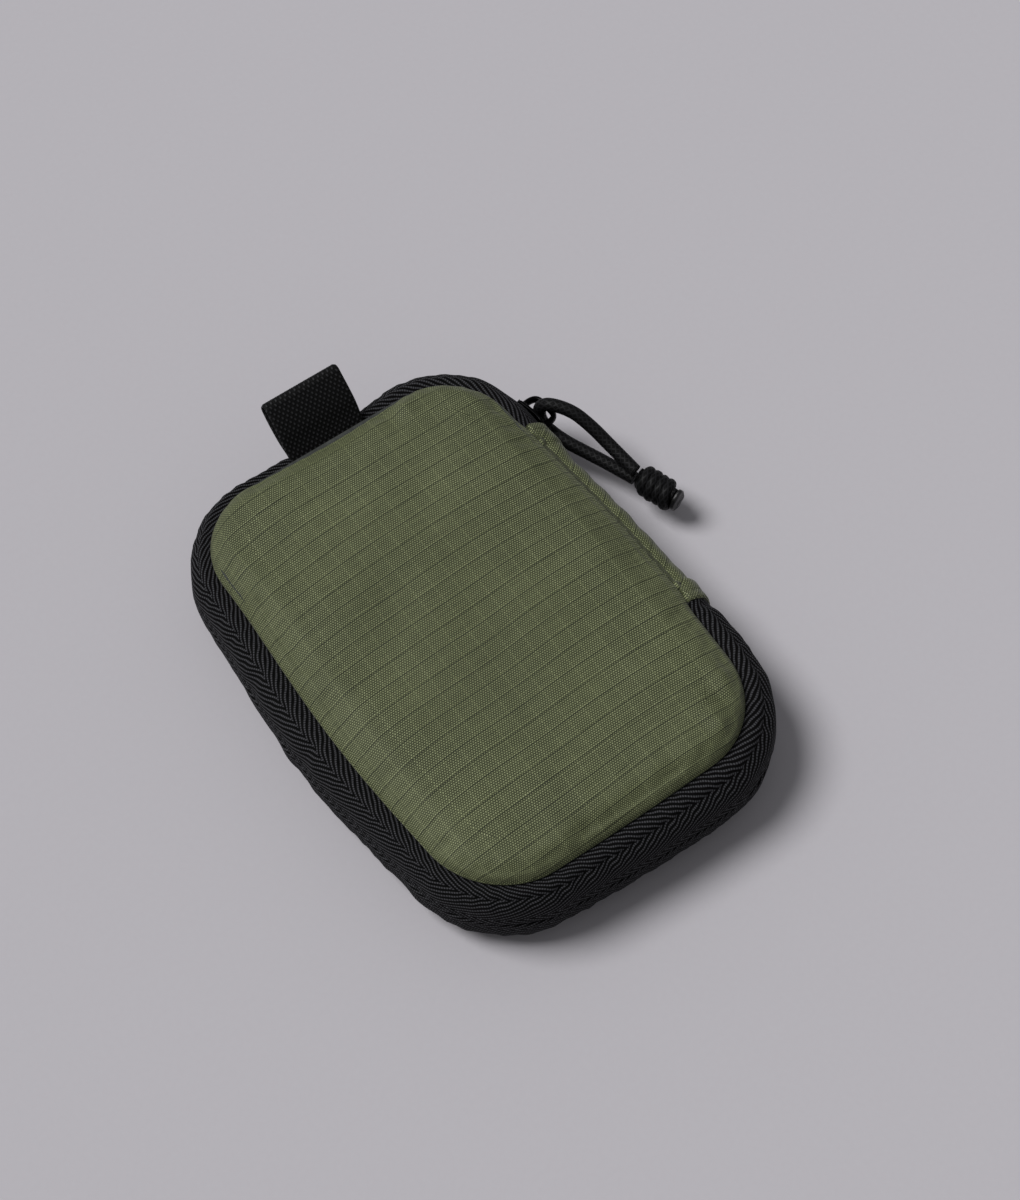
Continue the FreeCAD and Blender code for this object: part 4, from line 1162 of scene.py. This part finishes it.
def slider():
    wall = RS + 7.5
    a0, a1 = -5.6, 14.2
    am = (a0 + a1) / 2
    v, f, w = joined([bent_plate(wall + 0.36, wall + 1.36, 4.3, a0, a1, 0.22, 0.12)])
    body = make("slider_plate_outer", v, f, flat=True)
    bevelled(body, 0.28, 3)
    body.data.polygons.foreach_set("use_smooth", [True] * len(body.data.polygons))
    paint(body, M_METAL)
    v, f, w = joined([bent_plate(27.36 - 1.0, 27.36 - 0.1, 3.5, a0 + 1, a1 - 1, 0.2), ])
    inner = make("slider_plate_inner", v, f, flat=True)
    bevelled(inner, 0.25, 3)
    v, f, w = joined([bent_plate(26.5, wall + 0.9, 0.38, a0 + 1.2, a0 + 6.8, 0.0, 0.0, 8, 4)])
    post = make("slider_post", v, f, flat=True)
    bevelled(post, 0.12, 2)
    for ob in (inner, post):
        paint(ob, M_METAL)
    # bail: a round-edged bridge, its two feet spread on the plate
    br0, br1 = wall + 1.36, wall + 1.57 + 4.4 + 0.5
    half = math.degrees(4.2 / wall)
    pts = []
    for q in np.linspace(0, 1, 60):
        th = (q - 0.5) * 2
        ang = math.radians(am + half * math.copysign(min(1.0, abs(th) ** 0.62), th))
        rad = br0 - 0.15 + (br1 - br0 + 0.15) * (1 - abs(th) ** 3.2) ** (1 / 2.6)
        pts.append((CX + math.cos(ang) * rad, CY + math.sin(ang) * rad, ZC))
    pts = resample(pts, 0.4)
    t = np.linspace(0, 1, len(pts))
    rad = 0.86 + 0.16 * (np.abs(t - 0.5) * 2) ** 4
    bv, bf, bw = tube(pts, rad, 20)
    bv[:, 2] = ZC + (bv[:, 2] - ZC) * 1.45
    bail = make("slider_bail_bridge", bv, bf)
    paint(bail, M_METAL)
    for ob in (body, inner, post, bail):
        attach(ob, "slider")
    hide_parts("slider_body")
    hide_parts("slider_bail")


slider()


# ------------------------------------------------------------------ inside: linings, binding, coil
def lining(name, z_top, z_low, up, body, node, seed):
    flat, d, f = disc([1.0, 1.6, 2.6, 4.0, 5.6, 7.4, 9.4, 12.0])
    x, y = flat.T
    wave = (0.10 * noise2(x, y, 16, seed) - 0.06) * smooth((d - 1) / 6)
    a = np.concatenate([flat, (z_top + (wave if up else 0 * wave))[:, None]], -1)
    b = np.concatenate([flat, (z_low - (0 * wave if up else wave))[:, None]], -1)
    v = np.concatenate([a, b])
    base = len(flat)
    f = f + [[base + k for k in q][::-1] for q in f]
    f += [[j, base + j, base + (j + 1) % N_ROUND, (j + 1) % N_ROUND] for j in range(N_ROUND)]
    wv = np.stack([v[:, 0], v[:, 1], 0 * v[:, 0]], -1)
    ob = make(name, warp(v), f, wv)
    paint(ob, M_LINING)
    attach(ob, body)
    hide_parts(node)
    return ob


lining("back_lining_cloth", 4.03, 3.56, True, "base", "back_lining", 51)
lining("front_lining_cloth", 26.44, 25.97, False, "lid", "front_lining", 52)


def binding(name, front_side, body, node):
    s = np.arange(620) / 620 * ROUND
    prof = [(-0.25, 0.05), (-0.22, 0.9), (-0.45, 1.5), (-1.0, 1.82), (-1.7, 1.88), (-2.35, 1.72), (-2.8, 1.3), (-2.98, 0.7),
            (-2.95, 0.05)]
    prof = np.array(prof)
    wob = 0.07 * wobble(s, [5, 3], 61 if front_side else 62, ROUND)[:, None]
    off = prof[None, :, 0] + 0 * wob
    h = prof[None, :, 1] * (1 + wob)
    z = (25.92 - h) if front_side else (4.08 + h)
    p, n = foot(s)
    v = np.stack([p[:, None, 0] + n[:, None, 0] * off, p[:, None, 1] + n[:, None, 1] * off, z], -1)
    k = len(prof)
    t = np.concatenate([[0.0], np.cumsum(np.hypot(*np.diff(prof, axis=0).T))])
    wv = np.stack([s[:, None] + 0 * off, t[None] + 0 * off, 0 * off], -1)
    f = grid(len(s), k, close_u=True, close_v=True, flip=not front_side)
    ob = make(name, warp(v.reshape(-1, 3)), f, wv)
    paint(ob, M_BINDING)
    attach(ob, body)
    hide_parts(node)
    line = np.concatenate([p, np.zeros((len(s), 1))], 1) - np.concatenate([n, np.zeros((len(s), 1))], 1) * 2.25
    line[:, 2] = (25.92 - 1.78) if front_side else (4.08 + 1.78)
    sv, sf, sw = stitches(warp(np.concatenate([line, line[:1]])), np.array([0, 0, -1.0 if front_side else 1.0]), 2.2, 0.8, 0.34, 0.03, 7)
    st = make(name + "_stitches", sv, sf, sw)
    paint(st, M_THREAD_BLACK)
    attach(st, body)


binding("back_binding_tape", False, "base", "back_seam_binding")
binding("front_binding_tape", True, "lid", "front_seam_binding")


def coil(name, upper, body, node):
    """The nylon coil: one filament wound round a core cord, sewn behind the tape's free edge."""
    s0, s1 = CY + RS * math.radians(18.0), ROUND - 22.0
    pitch = 1.45
    turns = int((s1 - s0) / pitch)
    q = np.linspace(0, turns, turns * 14 + 1)
    s = s0 + q * pitch + (0.5 * pitch if upper else 0.0)
    s = np.minimum(s, s1 + 0.4)
    k = bulge(s)
    ang = TAU * q
    off = (5.62 + 0.50 * np.cos(ang)) * k
    hh = 1.56 + 0.56 * np.sin(ang)
    p, n = foot(s)
    z = ZC + hh if upper else ZC - hh
    pts = np.stack([p[:, 0] + n[:, 0] * off, p[:, 1] + n[:, 1] * off, z], -1)
    v1, f1, w1 = tube(pts, 0.24, 6)
    sc = np.arange(s0, s1, 2.0)
    p, n = foot(sc)
    off = 5.62 * bulge(sc)
    pts = np.stack([p[:, 0] + n[:, 0] * off, p[:, 1] + n[:, 1] * off, np.full(len(sc), ZC + 1.56 if upper else ZC - 1.56)], -1)
    v2, f2, w2 = tube(pts, 0.27, 8)
    v, f, w = joined([(v1, f1, w1), (v2, f2, w2)])
    ob = make(name, warp(v), f, w)
    paint(ob, M_COIL)
    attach(ob, body)
    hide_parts(node)


coil("zip_coil_upper_wound", True, "lid", "zip_coil_upper")
coil("zip_coil_lower_wound", False, "base", "zip_coil_lower")


# ------------------------------------------------------------------ inside: pockets and loops
def pocket_edge(x, y):
    """Distance in from a pocket's three sewn sides."""
    w, e, r = 43.0, -66.5, 19.0
    side = w - np.abs(x)
    low = y - e
    cx, cy = w - r, e + r
    corner = r - np.hypot(np.maximum(np.abs(x) - cx, 0), np.maximum(cy - y, 0))
    inside = (np.abs(x) > cx) & (y < cy)
    return np.where(inside, corner, np.minimum(side, low))


def pocket_grid(mouth, nx=70, ny=64, past=0.0):
    y = np.linspace(-66.45, mouth + past, ny)
    half = np.where(y < -47.5, 24 + np.sqrt(np.clip(19 ** 2 - (-47.5 - y) ** 2, 0, None)), 43.0)
    u = np.sin(np.linspace(-1, 1, nx) * math.pi / 2)
    x = u[None] * half[:, None]
    return x, np.repeat(y[:, None], nx, 1)


def pocket(name, up, mouth, rise, body, node, mat, seed, thick=0.5, net=False):
    root = 4.12 if up else 25.88
    sgn = 1 if up else -1

    def height(x, y):
        d = pocket_edge(x, y)
        base = smooth(np.clip(d, 0, 13) / 13)
        full = 0.62 + 0.38 * smooth((y + 66) / 40)
        wave = 0.22 * noise2(x, y, 22, seed) + 0.10 * noise2(x, y, 9, seed + 1)
        return 0.25 + rise * base * full + wave * smooth(d / 8)
    if not net:
        x, y = pocket_grid(mouth)
        h = height(x, y)
        a = np.stack([x, y, root + sgn * h], -1)
        b = np.stack([x, y, root + sgn * (h - thick)], -1)
        ny, nx = x.shape
        v = np.concatenate([a.reshape(-1, 3), b.reshape(-1, 3)])
        n = ny * nx
        f = grid(ny, nx, flip=up) + grid(ny, nx, base=n, flip=not up)
        ring = [i * nx for i in range(ny)] + [(ny - 1) * nx + j for j in range(1, nx)] + \
               [i * nx + nx - 1 for i in range(ny - 2, -1, -1)] + [j for j in range(nx - 2, 0, -1)]
        for p, q in zip(ring, ring[1:] + ring[:1]):
            f.append([p, q, n + q, n + p] if up else [q, p, n + p, n + q])
        ob = make(name, warp(v), f, np.stack([v[:, 0], v[:, 1], 0 * v[:, 0]], -1))
    else:
        # a hexagonal net: every cell an open hole, the strands round
        cell = 1.55
        pts, faces, index = [], [], {}

        def point(x, y):
            key = (round(x, 2), round(y, 2))
            if key not in index:
                index[key] = len(pts)
                pts.append((x, y))
            return index[key]
        row = 0
        yy = -66.0
        while yy < mouth - 0.3:
            xx = -44.0 + (cell * 0.866 if row % 2 else 0)
            while xx < 44.0:
                if pocket_edge(np.array(xx), np.array(yy)) > 1.2:
                    faces.append([point(xx + cell * math.sin(TAU * k / 6), yy + cell * math.cos(TAU * k / 6)) for k in range(6)])
                xx += cell * 1.732
            yy += cell * 1.5
            row += 1
        pts = np.array(pts)
        h = height(pts[:, 0], pts[:, 1])
        v = np.stack([pts[:, 0], pts[:, 1], root + sgn * h], -1)
        ob = make(name, warp(v), faces)
        m = ob.modifiers.new("wire", "WIREFRAME")
        m.thickness = 0.46 * MM
        m.use_even_offset = False
        m.use_boundary = True
        apply_modifiers(ob)
    paint(ob, mat)
    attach(ob, body)
    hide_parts(node)
    return ob, height, root, sgn


def hem(name, height, root, sgn, mouth, mat, body, node, width=5.0, thick=1.15, seed=1, thread_mat=None):
    y = mouth - 0.4 + np.array([0.0, 0.25, 0.8, 1.8, 2.7, 3.6, 4.6, 5.1, 5.35])
    round_ = np.array([0.35, 0.75, 0.97, 1.0, 1.0, 1.0, 0.97, 0.72, 0.3])
    x = np.linspace(-42.8, 42.8, 150)
    X, Y = np.meshgrid(x, y, indexing="ij")
    h = height(X, np.full_like(Y, mouth))
    gather = 0.10 * wobble(x, [4.5, 2.8], seed)[:, None]
    out = h + (thick * 0.5) * round_[None] + gather
    inn = h - (thick * 0.55) * round_[None] + gather * 0.4
    inn = np.maximum(inn, 0.04)
    out = np.maximum(out, inn + 0.15)
    v = np.concatenate([np.stack([X, Y, root + sgn * out], -1), np.stack([X, Y, root + sgn * inn], -1)[:, ::-1]], 1)
    k = 2 * len(y)
    f = grid(len(x), k, close_v=True, flip=sgn < 0)
    a, b = list(range(k)), [(len(x) - 1) * k + j for j in range(k)]
    f += [a[::-1], b] if sgn > 0 else [a, b[::-1]]
    f = [q[::-1] for q in f]
    wv = np.concatenate([np.stack([X, Y, 0 * X], -1), np.stack([X, Y, 0 * X], -1)[:, ::-1]], 1)
    f = [q[::-1] for q in f]
    ob = make(name, warp(v.reshape(-1, 3)), f, wv)
    paint(ob, mat)
    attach(ob, body)
    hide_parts(node)
    parts = []
    for yy in (mouth + 0.5, mouth + 4.1):
        hh = height(x, np.full_like(x, mouth)) + thick * 0.5 + gather[:, 0]
        line = np.stack([x, np.full_like(x, yy), root + sgn * hh], -1)[3:-3]
        parts.append(stitches(warp(line), np.array([0, 0, float(sgn)]), 2.0, 0.8, 0.34, 0.04, seed))
    sv, sf, sw = joined(parts)
    st = make(name + "_stitches", sv, sf, sw)
    paint(st, thread_mat or M_THREAD_BLACK)
    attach(st, body)
    return ob


slip, hgt, root, sgn = pocket("slip_pocket_cloth", True, -10.0, 5.1, "base", "slip_pocket", M_LINING, 71)
slip_hem = hem("slip_pocket_hem_band", hgt, root, sgn, -10.0, M_BINDING, "base", "slip_pocket_hem", seed=73)
net, hgt, root, sgn = pocket("mesh_pocket_net", False, 12.0, 4.3, "lid", "mesh_pocket", M_NET, 81, net=True)
net_hem = hem("mesh_pocket_elastic_edge", hgt, root, sgn, 12.0, M_ELASTIC, "lid", "mesh_pocket_hem", seed=83)


def pocket_rim(name, up, mouth, body):
    """Bound edge of a pocket along its three sewn sides, with its stitches."""
    pts = []
    for yy in np.linspace(mouth, -47.5, 40):
        pts.append((43.0, yy))
    for q in np.linspace(0, math.pi / 2, 26)[1:]:
        pts.append((24 + 19 * math.cos(q), -47.5 - 19 * math.sin(q)))
    for xx in np.linspace(24, -24, 40)[1:]:
        pts.append((xx, -66.5))
    for q in np.linspace(math.pi / 2, math.pi, 26)[1:]:
        pts.append((-24 + 19 * math.cos(q), -47.5 - 19 * math.sin(q)))
    for yy in np.linspace(-47.5, mouth, 40)[1:]:
        pts.append((-43.0, yy))
    z = 4.28 if up else 25.72
    line = resample(np.array([(x, y, z) for x, y in pts]), 0.8)
    v, f, w = tube(line, 0.62, 10)
    v[:, 2] = z + (v[:, 2] - z) * 0.62
    ob = make(name, warp(v), f, w)
    paint(ob, M_BINDING)
    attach(ob, body)
    sv, sf, sw = stitches(warp(line + np.array([0, 0, 0.34 if up else -0.34])), np.array([0, 0, 1.0 if up else -1.0]),
                          2.0, 0.8, 0.32, 0.03, 5)
    st = make(name + "_stitches", sv, sf, sw)
    paint(st, M_THREAD_BLACK)
    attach(st, body)
    return ob


pocket_rim("slip_pocket_rim", True, -9.0, "base")
net_rim = pocket_rim("mesh_pocket_rim", False, 13.0, "lid")


def cable_loops():
    t, ro, pitch, y0, width = 0.85, 7.9, 19.0, 16.0, 20.0
    xs = [-28.5, -9.5, 9.5, 28.5]
    line = [(-39.4, 0.45), (-37.6, 0.45)]
    for i, xc in enumerate(xs):
        squash = (1.0, 0.93, 0.97, 0.9)[i]
        lean = (0.5, -0.4, 0.3, 0.7)[i]
        for q in np.linspace(math.pi, 0, 34):
            r = ro - t / 2
            hgt_ = r * math.sin(q) * squash
            line.append((xc + r * math.cos(q) * (1 + 0.03 * math.sin(q)) + lean * math.sin(q), max(0.45, hgt_ + 0.1)))
    line += [(37.6, 0.45), (39.4, 0.45)]
    line = np.array([(x, 0, z) for x, z in line])
    line = resample(line, 0.5)
    tan = np.gradient(line, axis=0)
    tan /= np.linalg.norm(tan, axis=1)[:, None]
    nrm = np.stack([-tan[:, 2], 0 * tan[:, 0], tan[:, 0]], -1)
    L = np.concatenate([[0.0], np.cumsum(np.linalg.norm(np.diff(line, axis=0), axis=1))])
    y = y0 + np.concatenate([[0, 0.25], np.linspace(0.7, width - 0.7, 40), [width - 0.25, width]])
    edge = np.clip(np.minimum(y - y0, y0 + width - y) / 0.7, 0, 1) ** 0.5
    rib = 0.05 * np.sin(TAU * (y - y0) / 1.25)
    sides = []
    for sg in (1, -1):
        th = sg * (t / 2 * (0.35 + 0.65 * edge) + rib * edge)
        px = line[:, None, 0] + nrm[:, None, 0] * th
        pz = line[:, None, 2] + nrm[:, None, 2] * th
        sides.append(np.stack([px, np.repeat(y[None], len(line), 0), 4.12 + np.maximum(pz, 0.02)], -1))
    v = np.concatenate([sides[0], sides[1][:, ::-1]], 1)
    k = v.shape[1]
    f = grid(len(line), k, close_v=True)
    f.append(list(range(k))[::-1])
    f.append([(len(line) - 1) * k + j for j in range(k)])
    yy = np.concatenate([y, y[::-1]])
    wv = np.stack([np.repeat(L[:, None], k, 1), np.repeat(yy[None], len(L), 0), np.zeros((len(L), k))], -1)
    f = [q[::-1] for q in f]
    ob = make("elastic_loop_band", v, f, wv)
    paint(ob, M_ELASTIC)
    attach(ob, "base")
    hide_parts("elastic_cable_loops")
    parts = []
    for x in (-38.4, -37.2, -19.35, -18.65, -0.35, 0.35, 18.65, 19.35, 37.2, 38.4):
        q = np.linspace(y0 + 0.8, y0 + width - 0.8, 20)
        lin_ = np.stack([np.full_like(q, x), q, np.full_like(q, 5.02)], -1)
        parts.append(stitches(lin_, np.array([0, 0, 1.0]), 1.7, 0.5, 0.36, 0.05, int(abs(x))))
    sv, sf, sw = joined(parts)
    st = make("elastic_loop_tacks", sv, sf, sw)
    paint(st, M_THREAD_BLACK)
    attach(st, "base")


cable_loops()


# ------------------------------------------------------------------ floor and light
def floor():
    n = 24
    s = 4000.0
    q = np.linspace(-s, s, n)
    X, Y = np.meshgrid(q, q, indexing="ij")
    ob = make("floor", np.stack([X, Y, np.full_like(X, -0.05)], -1), grid(n, n, flip=False))
    nn = Nodes("paper")
    fine = nn.noise(nn.place(), 0.6, 2.0, 0.5)
    col = nn.ramp(fine, [(0.0, (0.494, 0.477, 0.506)), (1.0, (0.512, 0.495, 0.524))])
    mat = nn.done(col, 0.92, specular=0.1)
    ob.data.materials.append(mat)


floor()


def lights():
    sun = bpy.data.lights.new("key", "SUN")
    sun.energy = 2.48
    sun.angle = math.radians(27)
    sun.color = (1.0, 1.0, 1.0)
    ob = bpy.data.objects.new("key", sun)
    scene.collection.objects.link(ob)
    d = Vector((0.68, -0.54, -1.38)).normalized()
    ob.rotation_euler = d.to_track_quat("-Z", "Y").to_euler()
    world = bpy.data.worlds.new("studio")
    scene.world = world
    world.use_nodes = True
    bg = world.node_tree.nodes["Background"]
    bg.inputs["Color"].default_value = (0.97, 0.975, 1.0, 1.0)
    bg.inputs["Strength"].default_value = 0.24


lights()

bpy.context.view_layer.update()
